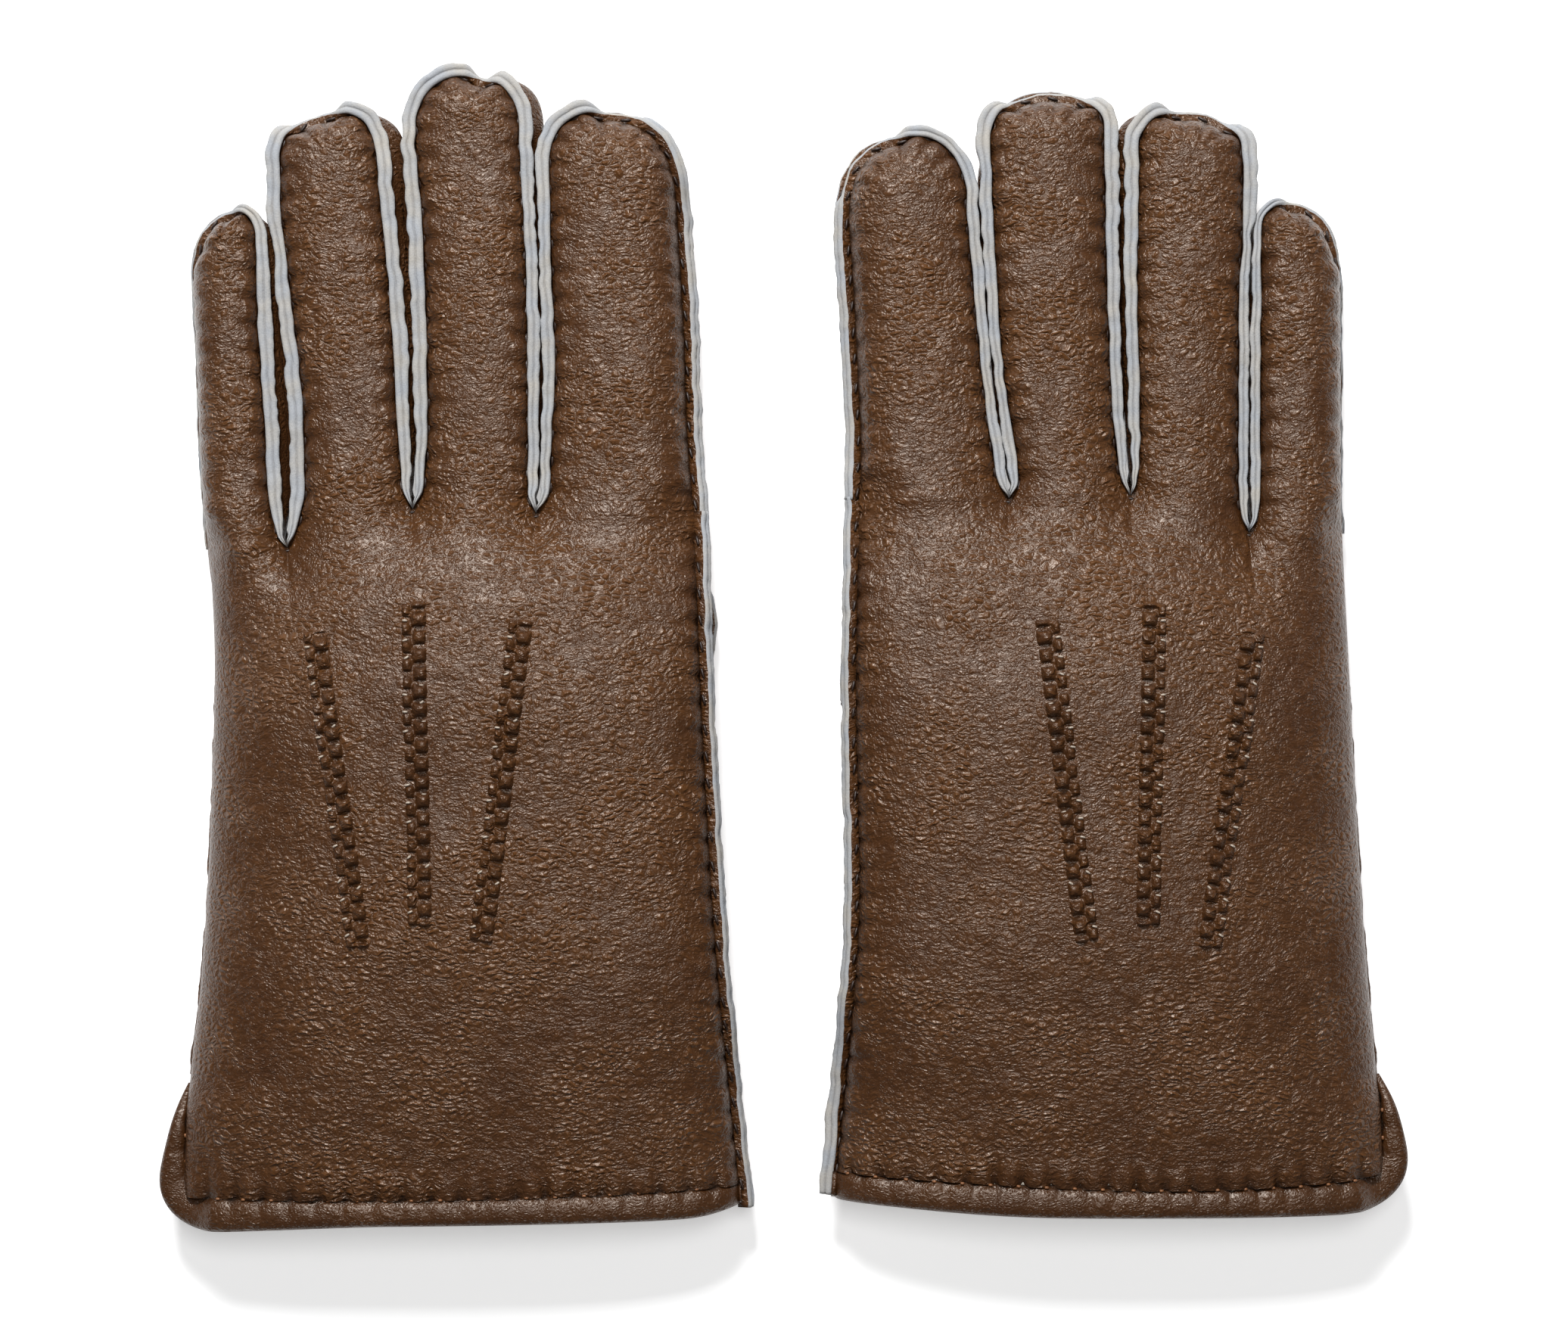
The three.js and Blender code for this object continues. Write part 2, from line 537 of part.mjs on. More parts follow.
// The frame's origin is at the middle of the pair's footprint.
const footprint = new THREE.Box3().setFromObject(pair);
pair.position.set(-(footprint.min.x + footprint.max.x) / 2, -(footprint.min.y + footprint.max.y) / 2, -footprint.min.z);

export default pair;
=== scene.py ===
"""Looks of a pair of shearling-lined leather gloves that lie backs up, thumbs tucked under the palms.

Sizes are millimetres in each glove's own frame: q runs from the little finger's side towards the
thumb, y towards the fingertips and z up from the table. A piece is turned into metres, in the shared
frame, when its mesh is built.
"""

import itertools
import logging
from dataclasses import dataclass, field
from enum import Enum
from typing import Callable

import bmesh
import bpy
import numpy as np
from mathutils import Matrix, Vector


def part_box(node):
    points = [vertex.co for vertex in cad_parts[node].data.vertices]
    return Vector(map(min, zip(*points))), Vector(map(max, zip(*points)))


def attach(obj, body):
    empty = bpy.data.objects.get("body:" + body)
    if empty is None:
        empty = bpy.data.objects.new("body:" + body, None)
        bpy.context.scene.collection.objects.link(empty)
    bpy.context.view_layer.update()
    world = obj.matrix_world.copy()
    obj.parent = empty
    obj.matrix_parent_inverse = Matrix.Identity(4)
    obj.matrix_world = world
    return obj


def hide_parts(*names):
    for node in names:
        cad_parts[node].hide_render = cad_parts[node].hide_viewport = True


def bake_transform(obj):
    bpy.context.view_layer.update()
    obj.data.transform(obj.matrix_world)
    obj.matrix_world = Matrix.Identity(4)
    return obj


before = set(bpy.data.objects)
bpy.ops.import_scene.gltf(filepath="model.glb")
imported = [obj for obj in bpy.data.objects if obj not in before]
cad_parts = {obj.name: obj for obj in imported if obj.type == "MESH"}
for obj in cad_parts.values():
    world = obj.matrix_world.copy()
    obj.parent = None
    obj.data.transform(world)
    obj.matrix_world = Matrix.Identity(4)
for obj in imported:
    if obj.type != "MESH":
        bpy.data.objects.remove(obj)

Array = np.ndarray
Stations = tuple[tuple[float, float], ...]
Triple = tuple[float, float, float]
Rgb = Triple  # linear light
Stops = tuple[tuple[float, Rgb], ...]

LOG = logging.getLogger("gloves")
MM = 0.001
WELD = 4e-6  # metres, under which two vertices are one
STITCH_PITCH = 6.2  # along every out-seam
HEM_PITCH = 6.4  # along the bound edge
STEP = 0.75  # between two rings of a skin, along its outline
FLANGE_HEIGHT = 2.3
FLANGE_THICKNESS = 3.3  # two layers of hide
HAND_DEPTH = 20.0  # from the back's seam to the palm's, either side of the side seam
FINGER_TOP = 20.0
CROTCH_RIM = 17.0  # height of a finger's seam where two fingers meet
HOLD_LENGTH = 26.0  # over which a finger's shape fades into the hand
TUCK = 1.2  # how far one skin runs on under the next
TUCK_DROP = 0.07  # how far below the next skin it lies
THUMB_HIGH = 13.6
OPEN_GAP = 99.0  # stands for a side with no neighbour
UP = np.array([0.0, 0.0, 1.0])
HASH = (73856093, 19349663, 83492791, 2654435761, 1274126177)  # large odd numbers that stir the noise


# ---- Curves, noise and grids ----------------------------------------------------------------------
def mix(a: Array | float, b: Array | float, t: Array | float) -> Array | float:
    """Straight-line blend from a at t 0 to b at t 1."""
    return a + (b - a) * t


def smooth(t: Array | float) -> Array:
    """The S-curve 3t2 - 2t3 between 0 and 1, flat outside."""
    t = np.clip(t, 0.0, 1.0)
    return t * t * (3 - 2 * t)


def through(stations: Stations, at: Array | float) -> Array:
    """A cubic curve through stations that never overshoots them.

    Each station's slope is the harmonic mean of its two neighbouring slopes, or zero at a turn, and
    each span is a Hermite cubic between them.

    Args:
        stations: Pairs of position and value, in rising order of position.
        at: Positions to read.

    Returns:
        The values, held at the end values outside the stations.
    """
    x, v = np.asarray(stations, float).T
    span = np.diff(x)
    rise = np.diff(v) / span
    slope = np.zeros_like(v)
    both = rise[:-1] * rise[1:]
    total = rise[:-1] + rise[1:]
    turning = both <= 0
    slope[1:-1] = np.where(turning, 0.0, 2 * both / np.where(turning, 1.0, total))
    slope[0], slope[-1] = rise[0], rise[-1]
    at = np.clip(at, x[0], x[-1])
    i = np.clip(np.searchsorted(x, at, side="right") - 1, 0, len(x) - 2)
    t = (at - x[i]) / span[i]
    return (
        v[i] * (1 + 2 * t) * (1 - t) ** 2
        + v[i + 1] * t * t * (3 - 2 * t)
        + span[i] * (slope[i] * t * (1 - t) ** 2 - slope[i + 1] * t * t * (1 - t))
    )


def noise(points: Array, size: float, seed: int) -> Array:
    """Smooth value noise: random numbers on a lattice, blended by the S-curve in each direction.

    Args:
        points: Positions, in millimetres, three to a point.
        size: Spacing of the lattice.
        seed: Picks one pattern out of many.

    Returns:
        One number between -1 and 1 to a point.
    """
    scaled = points / size + 512.0
    cell = np.floor(scaled).astype(np.int64)
    part = smooth(scaled - cell)
    total = np.zeros(points.shape[:-1])
    for corner in itertools.product((0, 1), repeat=3):
        at = cell + np.array(corner)
        mark = at[..., 0] * HASH[0] ^ at[..., 1] * HASH[1] ^ at[..., 2] * HASH[2] ^ seed * HASH[3]
        mark = ((mark ^ (mark >> 13)) * HASH[4]) & 0x7FFFFFFF
        value = ((mark >> 7) % 65536) / 32767.5 - 1
        total += value * np.prod(np.where(corner, part, 1 - part), axis=-1)
    return total


def lengths(line: Array) -> Array:
    """Running length along a line of points, from 0 at its first point."""
    return np.concatenate([[0.0], np.cumsum(np.linalg.norm(np.diff(line, axis=0), axis=1))])


def resample(line: Array, step: float) -> Array:
    """The same line with its points at equal spacing, close to step.

    Args:
        line: Points in order.
        step: Spacing wanted.

    Returns:
        The new points.
    """
    run = lengths(line)
    at = np.linspace(0, run[-1], max(int(round(run[-1] / step)), 2) + 1)
    return np.stack([np.interp(at, run, line[:, k]) for k in range(line.shape[1])], axis=1)


def soften(values: Array, reach: int) -> Array:
    """Moving average over 2 * reach + 1 samples, taken twice, with the end values held.

    Args:
        values: One number to a sample.
        reach: Samples taken in on each side.

    Returns:
        As many averaged numbers.
    """
    kernel = np.ones(2 * reach + 1) / (2 * reach + 1)
    for _ in range(2):
        values = np.convolve(np.pad(values, reach, mode="edge"), kernel, mode="valid")
    return values


def outward(line: Array) -> Array:
    """Unit normals in plan, on the left hand of a line that runs up and over a fingertip.

    Args:
        line: Points in order; only the first two coordinates count.

    Returns:
        One unit vector to a point.
    """
    along = np.gradient(line[:, :2], axis=0)
    along /= np.linalg.norm(along, axis=1, keepdims=True) + 1e-9
    return np.stack([-along[:, 1], along[:, 0]], axis=1)


def pinch(arc: Array, pitch: float = STITCH_PITCH, width: float = 0.95) -> Array:
    """1 at each stitch hole along an arc and 0 between them, as a row of narrow bells.

    Args:
        arc: Distance along the seam.
        pitch: Distance between two holes.
        width: Half width of a bell.

    Returns:
        The share, 0 to 1.
    """
    away = np.abs((arc + pitch / 2) % pitch - pitch / 2)
    return np.exp(-((away / width) ** 2))


def gathers(arc: Array, depth: Array, pitch: float = STITCH_PITCH) -> tuple[Array, Array]:
    """How far the hide sinks beside a seam, where each stitch pulls it in and it puffs up between.

    The sink is a row of bells along the seam that dies away across it, plus fine creases that run
    out from the holes, less a low puff between two holes.

    Args:
        arc: Distance along the seam.
        depth: Distance from the seam.
        pitch: Distance between two stitches.

    Returns:
        The sink in millimetres, and the share of painted shade in the creases beside the seam and at each stitch
        hole.
    """
    pull = pinch(arc, pitch)
    wide = pinch(arc, pitch, 2.0)
    where = np.stack([arc / 0.9, depth / 3.2, 0 * arc], axis=-1)
    crease = noise(where, 1.0, 5) * np.exp(-depth / 2.8)
    puff = (1 - wide) * np.exp(-(((depth - 1.7) / 1.5) ** 2))
    sink = 1.35 * pull * np.exp(-depth / 2.0) + 0.34 * crease - 0.5 * puff
    # painted shade: along the seam's edge and in the puckers at each stitch hole
    dark = np.exp(-depth / 0.5) * 0.3 + 1.0 * pull * np.exp(-depth / 0.9)
    return sink, np.clip(dark, 0, 1)


@dataclass(frozen=True)
class Place:
    """Where a glove's own frame lies in the shared one."""

    side: str
    centre: float
    forward: float
    to_thumb: int

    def world(self, points: Array) -> Array:
        """Metres in the shared frame: x is the centre plus q, mirrored on the right hand.

        Args:
            points: Points in the glove's frame; one below the table is raised onto it.

        Returns:
            The same points in metres.
        """
        out = np.empty(points.shape)
        out[..., 0] = (self.centre + self.to_thumb * points[..., 0]) * MM
        out[..., 1] = (self.forward + points[..., 1]) * MM
        out[..., 2] = np.maximum(points[..., 2], 0.0) * MM
        return out


@dataclass
class Patch:
    """A grid of points, with a share of painted shade at each and a finish for each strip between columns."""

    points: Array
    dark: Array | float = 0.0
    wrap: bool = False
    strips: Array | int = 0

    def quads(self) -> Array:
        """Corner numbers of the four-sided faces, row by row, closed across the last column if wrapped."""
        rows, columns = self.points.shape[:2]
        j = np.arange(columns if self.wrap else columns - 1)
        i = np.arange(rows - 1)[:, None] * columns
        k = (j + 1) % columns
        return np.stack([i + j, i + k, i + k + columns, i + j + columns], axis=-1)


def assemble(
    name: str,
    patches: list[Patch],
    finishes: list[bpy.types.Material],
    place: Place,
    facing: Vector | None = None,
) -> bpy.types.Object:
    """Builds one piece from grids of points.

    Args:
        name: Name of the piece.
        patches: Grids in the glove's frame, all wound the same way.
        finishes: Materials in the order that the patches' strips number them.
        place: The glove's place.
        facing: The side that an open skin faces; a closed body faces away from its inside.

    Returns:
        The finished object, at the origin, with its rest position stored for the materials.
    """
    points, faces, slots, darks, first = [], [], [], [], 0
    for patch in patches:
        quads = patch.quads()
        points.append(place.world(patch.points).reshape(-1, 3))
        darks.append(np.broadcast_to(patch.dark, patch.points.shape[:2]).ravel())
        slots.append(np.broadcast_to(patch.strips, quads.shape[:2]).ravel())
        faces.append(quads.reshape(-1, 4) + first)
        first += points[-1].shape[0]
    verts, quads = np.concatenate(points), np.concatenate(faces)
    mesh = bpy.data.meshes.new(name)
    mesh.vertices.add(len(verts))
    mesh.vertices.foreach_set("co", verts.astype(np.float32).ravel())
    mesh.loops.add(quads.size)
    mesh.loops.foreach_set("vertex_index", quads.astype(np.int32).ravel())
    mesh.polygons.add(len(quads))
    mesh.polygons.foreach_set("loop_start", np.arange(0, quads.size, 4, dtype=np.int32))
    mesh.polygons.foreach_set("material_index", np.concatenate(slots).astype(np.int32))
    mesh.update(calc_edges=True)
    # the dark share is painted shade, stored for the materials
    dark = mesh.attributes.new("dark", "FLOAT", "POINT")
    dark.data.foreach_set("value", np.concatenate(darks).astype(np.float32))
    work = bmesh.new()
    work.from_mesh(mesh)
    bmesh.ops.remove_doubles(work, verts=work.verts, dist=WELD)
    inside_out = facing is None and work.calc_volume(signed=True) < 0
    work.to_mesh(mesh)
    work.free()
    normals = np.empty(len(mesh.polygons) * 3, np.float32)
    mesh.polygons.foreach_get("normal", normals)
    if inside_out or (facing is not None and normals.reshape(-1, 3).sum(0) @ np.array(facing) < 0):
        mesh.flip_normals()
    mesh.polygons.foreach_set("use_smooth", np.ones(len(mesh.polygons), bool))
    rest = np.empty(len(mesh.vertices) * 3, np.float32)
    mesh.vertices.foreach_get("co", rest)
    mesh.attributes.new("rest", "FLOAT_VECTOR", "POINT").data.foreach_set("vector", rest)
    for finish in finishes:
        mesh.materials.append(finish)
    piece = bpy.data.objects.new(name, mesh)
    bpy.context.scene.collection.objects.link(piece)
    LOG.info("%s: %d faces", name, len(mesh.polygons))
    return piece


@dataclass(frozen=True)
class Hold:
    """What a piece is tied to: one body, or two bodies with the ends of a stretch of y between them, which are only
    stored.
    """

    body: str
    onto: str = ""
    start: Vector = field(default_factory=Vector)
    end: Vector = field(default_factory=Vector)

    def take(self, piece: bpy.types.Object, slot: str, *nodes: str) -> None:
        """Parents a piece to its body, or only bakes its place into its mesh if it has a second body, and hides the
        solids that it stands for.

        Args:
            piece: The finished piece.
            slot: Name of its material slot; not used.
            nodes: Solids that it stands for.
        """
        if self.onto:
            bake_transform(piece)
        else:
            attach(piece, self.body)
        if nodes:
            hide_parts(*nodes)


# ---- Finishes ---------------------------------------------------------------------------------------
class Nodes:
    """A node tree under a friendlier name: adds nodes, sets their sockets and links them."""

    def __init__(self, name: str) -> None:
        """Starts an empty material with its output and main shader."""
        self.material = bpy.data.materials.new(name)
        self.material.use_nodes = True
        self.tree = self.material.node_tree
        self.tree.nodes.clear()
        self.shader = self.add("ShaderNodeBsdfPrincipled")
        output = self.add("ShaderNodeOutputMaterial")
        self.link(self.shader, "BSDF", output, "Surface")

    def add(self, kind: str, **sockets: object) -> bpy.types.Node:
        """A node of a kind, with some input values set by socket name (underscores for blanks).

        Args:
            kind: Type name of the node.
            sockets: Values of its inputs.

        Returns:
            The new node.
        """
        node = self.tree.nodes.new(kind)
        for name, value in sockets.items():
            node.inputs[name.replace("_", " ")].default_value = value
        return node

    def link(self, a: bpy.types.Node, out: str | int, b: bpy.types.Node, into: str | int) -> None:
        """Joins an output socket to an input socket."""
        self.tree.links.new(a.outputs[out], b.inputs[into])

    def attribute(self, name: str) -> bpy.types.Node:
        """A stored attribute of the piece."""
        node = self.add("ShaderNodeAttribute")
        node.attribute_name = name
        return node

    def scaled(self, source: bpy.types.Node, out: str | int, scale: Triple) -> bpy.types.Node:
        """Coordinates from a socket, stretched by a scale in each direction."""
        node = self.add("ShaderNodeMapping")
        node.inputs["Scale"].default_value = scale
        self.link(source, out, node, "Vector")
        return node

    def grain(self, source: bpy.types.Node, scale: float, detail: float, rough: float = 0.5) -> bpy.types.Node:
        """Fractal noise on coordinates."""
        node = self.add("ShaderNodeTexNoise", Scale=scale, Detail=detail, Roughness=rough)
        self.link(source, "Vector", node, "Vector")
        return node

    def ramp(self, source: bpy.types.Node, out: str | int, stops: Stops) -> bpy.types.Node:
        """Colours along a value, from a list of stops.

        Args:
            source: Node that gives the value.
            out: Its output socket.
            stops: Place and colour of each stop.

        Returns:
            The ramp's node.
        """
        node = self.add("ShaderNodeValToRGB")
        band = node.color_ramp
        while len(band.elements) < len(stops):
            band.elements.new(0.5)
        for element, (at, colour) in zip(band.elements, stops):
            element.position = at
            element.color = (*colour, 1.0)
        self.link(source, out, node, "Fac")
        return node

    def math(self, kind: str, *sources: tuple[bpy.types.Node, str | int]) -> bpy.types.Node:
        """An arithmetic node on one or two sockets.

        Args:
            kind: The operation.
            sources: Node and output socket of each operand.

        Returns:
            The new node.
        """
        node = self.tree.nodes.new("ShaderNodeMath")
        node.operation = kind
        for k, (source, out) in enumerate(sources):
            self.link(source, out, node, k)
        return node

    def sum(self, *parts: tuple[bpy.types.Node, str | int, float]) -> bpy.types.Node:
        """Adds sockets, each times its weight.

        Args:
            parts: Node, output socket and weight of each term.

        Returns:
            The last node of the sum.
        """
        total = None
        for source, out, weight in parts:
            node = self.tree.nodes.new("ShaderNodeMath")
            node.operation = "MULTIPLY_ADD"
            self.link(source, out, node, 0)
            node.inputs[1].default_value = weight
            node.inputs[2].default_value = 0.0
            if total is not None:
                self.link(total, 0, node, 2)
            total = node
        return total

    def cells(self, source: bpy.types.Node, scale: float, width: float) -> bpy.types.Node:
        """Rounded cells parted by narrow valleys: the distance to a cell's edge, up to a width.

        Args:
            source: Coordinates.
            scale: Cells to a metre.
            width: Share of a cell over which it rounds off.

        Returns:
            A node whose Result runs from 0 in a valley to 1 on a cell.
        """
        cell = self.tree.nodes.new("ShaderNodeTexVoronoi")
        cell.feature = "DISTANCE_TO_EDGE"
        cell.inputs["Scale"].default_value = scale
        self.link(source, "Vector", cell, "Vector")
        node = self.add("ShaderNodeMapRange", From_Max=width)
        node.interpolation_type = "SMOOTHSTEP"
        self.link(cell, "Distance", node, "Value")
        return node

    def blend(self, kind: str, fac: float | None = None) -> bpy.types.Node:
        """A colour mix node of a kind, with its share if it is constant.

        Args:
            kind: How it mixes.
            fac: Share of the second colour.

        Returns:
            The new node.
        """
        node = self.add("ShaderNodeMix")
        node.data_type = "RGBA"
        node.blend_type = kind
        if fac is not None:
            node.inputs[0].default_value = fac
        return node

    def bump(
        self,
        height: bpy.types.Node,
        out: str | int,
        strength: float,
        distance: float,
        under: bpy.types.Node | None = None,
    ) -> bpy.types.Node:
        """Relief from a height socket, laid over another relief if there is one.

        Args:
            height: Node that gives the height.
            out: Its output socket.
            strength: Share of the relief that shows.
            distance: Depth of the relief, in metres.
            under: An earlier relief to lay it over.

        Returns:
            The relief's node.
        """
        node = self.add("ShaderNodeBump", Strength=strength, Distance=distance)
        self.link(height, out, node, "Height")
        if under is not None:
            self.link(under, "Normal", node, "Normal")
        return node

    def colour(self, tint: bpy.types.Node, shade: bpy.types.Node, folded: Rgb) -> None:
        """The base colour: a tint times most of a shade ramp, then mixed to a painted shade colour by the stored
        dark share.

        Args:
            tint: Ramp of the body colours.
            shade: Ramp of the relief's shading.
            folded: The painted shade colour, where the stored dark share is 1.
        """
        toned = self.blend("MULTIPLY", 0.8)
        self.link(tint, "Color", toned, 6)
        self.link(shade, "Color", toned, 7)
        # the stored dark share is painted shade
        dark = self.attribute("dark")
        final = self.blend("MIX")
        self.link(dark, "Fac", final, 0)
        self.link(toned, 2, final, 6)
        final.inputs[7].default_value = (*folded, 1)
        self.link(final, 2, self.shader, "Base Color")

    def surface(self, roughness: float, specular: float = 0.5) -> None:
        """How the surface takes light: its roughness and the strength of its shine."""
        self.shader.inputs["Roughness"].default_value = roughness
        self.shader.inputs["Specular IOR Level"].default_value = specular


def linear(*srgb: float) -> Rgb:
    """A screen colour, 0 to 255 a channel, as linear light."""
    return tuple(((c / 255 + 0.055) / 1.055) ** 2.4 if c > 10 else c / 255 / 12.92 for c in srgb)


@dataclass(frozen=True)
class Leather:
    """Dyed nappa: pebbled grain, stretch wrinkles, cloudy colour, painted shade in the grain's valleys with a
    painted highlight on its ridges, and painted shade where it is folded in.
    """

    name: str = "leather"
    body: Rgb = linear(82, 50, 23)
    deep: Rgb = linear(76, 45, 20)
    worn: Rgb = linear(88, 55, 27)
    # folded: the painted shade colour, taken where the stored dark share is 1
    folded: Rgb = linear(26, 14, 8)
    relief: float = 1.0  # share of the creases and the grain; the pebbles stay
    crease: float = 0.62
    pebble: float = 0.15
    grain: float = 0.5
    creases_per_metre: float = 800
    pebbles_per_metre: float = 1600
    grains_per_metre: float = 760
    wander: float = 0.004  # metres that the pattern is pushed about
    depth: float = 0.0008  # of the relief, in metres
    roughness: float = 0.38
    specular: float = 0.48
    sheen_tint: Rgb = (1.0, 0.86, 0.74)
    wax: float = 0.12
    wax_roughness: float = 0.27

    def make(self) -> bpy.types.Material:
        """Builds the material on the stored rest position, so that it doesn't slide as a piece bends."""
        n = Nodes(self.name)
        rest = n.attribute("rest")
        plain = n.scaled(rest, "Vector", (1, 1, 1))
        cloud = n.grain(plain, 48, 2)
        wander = n.grain(plain, 150, 3)
        warped = n.add("ShaderNodeVectorMath")
        warped.operation = "MULTIPLY_ADD"
        n.link(wander, "Color", warped, 0)
        warped.inputs[1].default_value = (self.wander,) * 3
        n.link(rest, "Vector", warped, 2)
        folds = n.cells(n.scaled(warped, "Vector", (0.55, 1.0, 0.75)), self.creases_per_metre, 0.62)
        pebbles = n.cells(n.scaled(warped, "Vector", (0.8, 1.0, 1.0)), self.pebbles_per_metre, 0.6)
        rough = n.grain(n.scaled(warped, "Vector", (0.6, 1.0, 0.8)), self.grains_per_metre, 3, 0.5)
        loud = n.add("ShaderNodeMapRange", From_Min=0.4, From_Max=0.6, To_Min=0.3, To_Max=1.1)
        n.link(cloud, "Fac", loud, "Value")
        creased = n.math("MULTIPLY", (folds, "Result"), (loud, "Result"))
        relief = n.sum(
            (creased, 0, self.crease * self.relief),
            (pebbles, "Result", self.pebble),
            (rough, "Fac", self.grain * self.relief),
        )
        tint = n.ramp(cloud, "Fac", ((0.3, self.deep), (0.5, self.body), (0.7, self.worn)))
        # painted shade in the grain's valleys and painted highlight on its ridges, following the relief's height
        shade = n.ramp(relief, 0, ((0.22, (0.5, 0.46, 0.42)), (0.48, (1, 1, 1)), (0.85, (1.18, 1.18, 1.18))))
        n.colour(tint, shade, self.folded)
        n.surface(self.roughness, self.specular)
        n.shader.inputs["Specular Tint"].default_value = (*self.sheen_tint, 1.0)
        n.shader.inputs["Coat Weight"].default_value = self.wax
        n.shader.inputs["Coat Roughness"].default_value = self.wax_roughness
        small = n.bump(relief, 0, 1.0, self.depth)
        n.link(small, "Normal", n.shader, "Normal")
        n.link(small, "Normal", n.shader, "Coat Normal")
        return n.material


@dataclass(frozen=True)
class CutEdge:
    """The cut edge of shearling at an out-seam: chalky suede, pale blue-grey with creamy patches."""

    name: str = "cut_edge"
    chalk: Rgb = linear(160, 163, 167)
    cream: Rgb = linear(172, 168, 161)
    # gap: painted shade colour in the groove where the two layers meet
    gap: Rgb = linear(84, 74, 68)

    def make(self) -> bpy.types.Material:
        """Builds the fibrous white of the edge, with painted shade in the groove where the two layers meet."""
        n = Nodes(self.name)
        rest = n.attribute("rest")
        plain = n.scaled(rest, "Vector", (1, 1, 1))
        patch = n.grain(plain, 160, 3)
        fibre = n.grain(plain, 2600, 3, 0.65)
        tint = n.ramp(patch, "Fac", ((0.35, self.chalk), (0.7, self.cream)))
        speckle = n.ramp(fibre, "Fac", ((0.3, (0.78, 0.78, 0.8)), (0.6, (1, 1, 1))))
        n.colour(tint, speckle, self.gap)
        n.surface(0.92, 0.2)
        big = n.bump(patch, "Fac", 0.4, 0.0005)
        small = n.bump(fibre, "Fac", 0.6, 0.0002, big)
        n.link(small, "Normal", n.shader, "Normal")
        return n.material


@dataclass(frozen=True)
class Wool:
    """The fleece inside: curled, creamy and matt."""

    name: str = "fleece"
    tip: Rgb = linear(232, 226, 212)
    root: Rgb = linear(176, 164, 146)

    def make(self) -> bpy.types.Material:
        """Builds the wool from two sizes of curl."""
        n = Nodes(self.name)
        rest = n.attribute("rest")
        plain = n.scaled(rest, "Vector", (1, 1, 1))
        curl = n.grain(plain, 520, 5, 0.7)
        tuft = n.add("ShaderNodeTexVoronoi", Scale=420.0)
        n.link(plain, "Vector", tuft, "Vector")
        tint = n.ramp(curl, "Fac", ((0.3, self.root), (0.62, self.tip)))
        n.link(tint, "Color", n.shader, "Base Color")
        n.surface(0.95)
        n.shader.inputs["Sheen Weight"].default_value = 0.35
        big = n.bump(tuft, "Distance", 0.8, 0.0008)
        small = n.bump(curl, "Fac", 0.9, 0.0007, big)
        n.link(small, "Normal", n.shader, "Normal")
        return n.material


@dataclass(frozen=True)
class Thread:
    """Waxed sewing thread."""

    name: str
    colour: Rgb

    def make(self) -> bpy.types.Material:
        """Builds the twisted thread with a little wax on it."""
        n = Nodes(self.name)
        rest = n.attribute("rest")
        turned = n.scaled(rest, "Vector", (1, 1, 1))
        twist = n.grain(turned, 3200, 2)
        shade = tuple(c * 0.55 for c in self.colour)
        tint = n.ramp(twist, "Fac", ((0.35, shade), (0.65, self.colour)))
        n.link(tint, "Color", n.shader, "Base Color")
        n.surface(0.45)
        relief = n.bump(twist, "Fac", 0.5, 0.0001)
        n.link(relief, "Normal", n.shader, "Normal")
        return n.material


@dataclass
class Finishes:
    """The finished materials that the two gloves share."""

    leather: bpy.types.Material
    edge: bpy.types.Material
    bound: bpy.types.Material
    wool: bpy.types.Material
    thread: bpy.types.Material
    # the points' pale thread, which is also a painted highlight (glints) on the pillows
    pale_thread_and_glints: bpy.types.Material
    hem_thread: bpy.types.Material


# ---- Seams ------------------------------------------------------------------------------------------
class Lean(Enum):
    """How a seam's flange lies: degrees from upright, outwards."""

    UPRIGHT = 1.0
    OUTWARD = 60.0
    BACK = 104.0
    UNDER = 112.0


# The flange's section: share of its thickness, share of its height, share of painted shade (at
# its foot and in the groove where the two layers meet), and whether the strip that starts there is cut edge.
FLANGE_SECTION = (
    (0.0, -0.35, 0.4, 0), (0.0, 0.3, 0.0, 0), (0.0, 0.78, 0.0, 1), (0.04, 0.97, 0.0, 1), (0.2, 1.07, 0.0, 1),
    (0.38, 1.03, 0.0, 1), (0.465, 0.93, 0.15, 1), (0.5, 0.86, 0.3, 1), (0.535, 0.93, 0.15, 1), (0.62, 1.03, 0.0, 1),
    (0.8, 1.07, 0.0, 1), (0.96, 0.97, 0.0, 1), (1.0, 0.78, 0.0, 0), (1.0, 0.3, 0.0, 0), (1.0, -0.35, 0.4, 0),
    (0.5, -0.45, 0.4, 0),
)  # fmt: skip


def tilted(normal: Array, lean: Array) -> tuple[Array, Array, Array]:
    """The directions of a flange that leans outwards from upright.

    Args:
        normal: Unit normals in plan, away from the finger.
        lean: Degrees from upright at each point.

    Returns:
        Level and outwards, up the flange's face, and across its thickness.
    """
    angle = np.radians(lean)[:, None]
    flat = np.concatenate([normal, np.zeros((len(normal), 1))], axis=1)
    return flat, np.cos(angle) * UP + np.sin(angle) * flat, np.cos(angle) * flat - np.sin(angle) * UP


def capped(rings: Array, dark: Array) -> tuple[Array, Array]:
    """Rings in a row, closed at both ends by a ring drawn together at its middle.

    Args:
        rings: Points, one ring to a row.
        dark: Share of dark at each point.

    Returns:
        The longer points and shares.
    """
    first, last = (np.broadcast_to(end.mean(1, keepdims=True), end.shape) for end in (rings[:1], rings[-1:]))
    return np.concatenate([first, rings, last]), np.concatenate([dark[:1], dark, dark[-1:]])


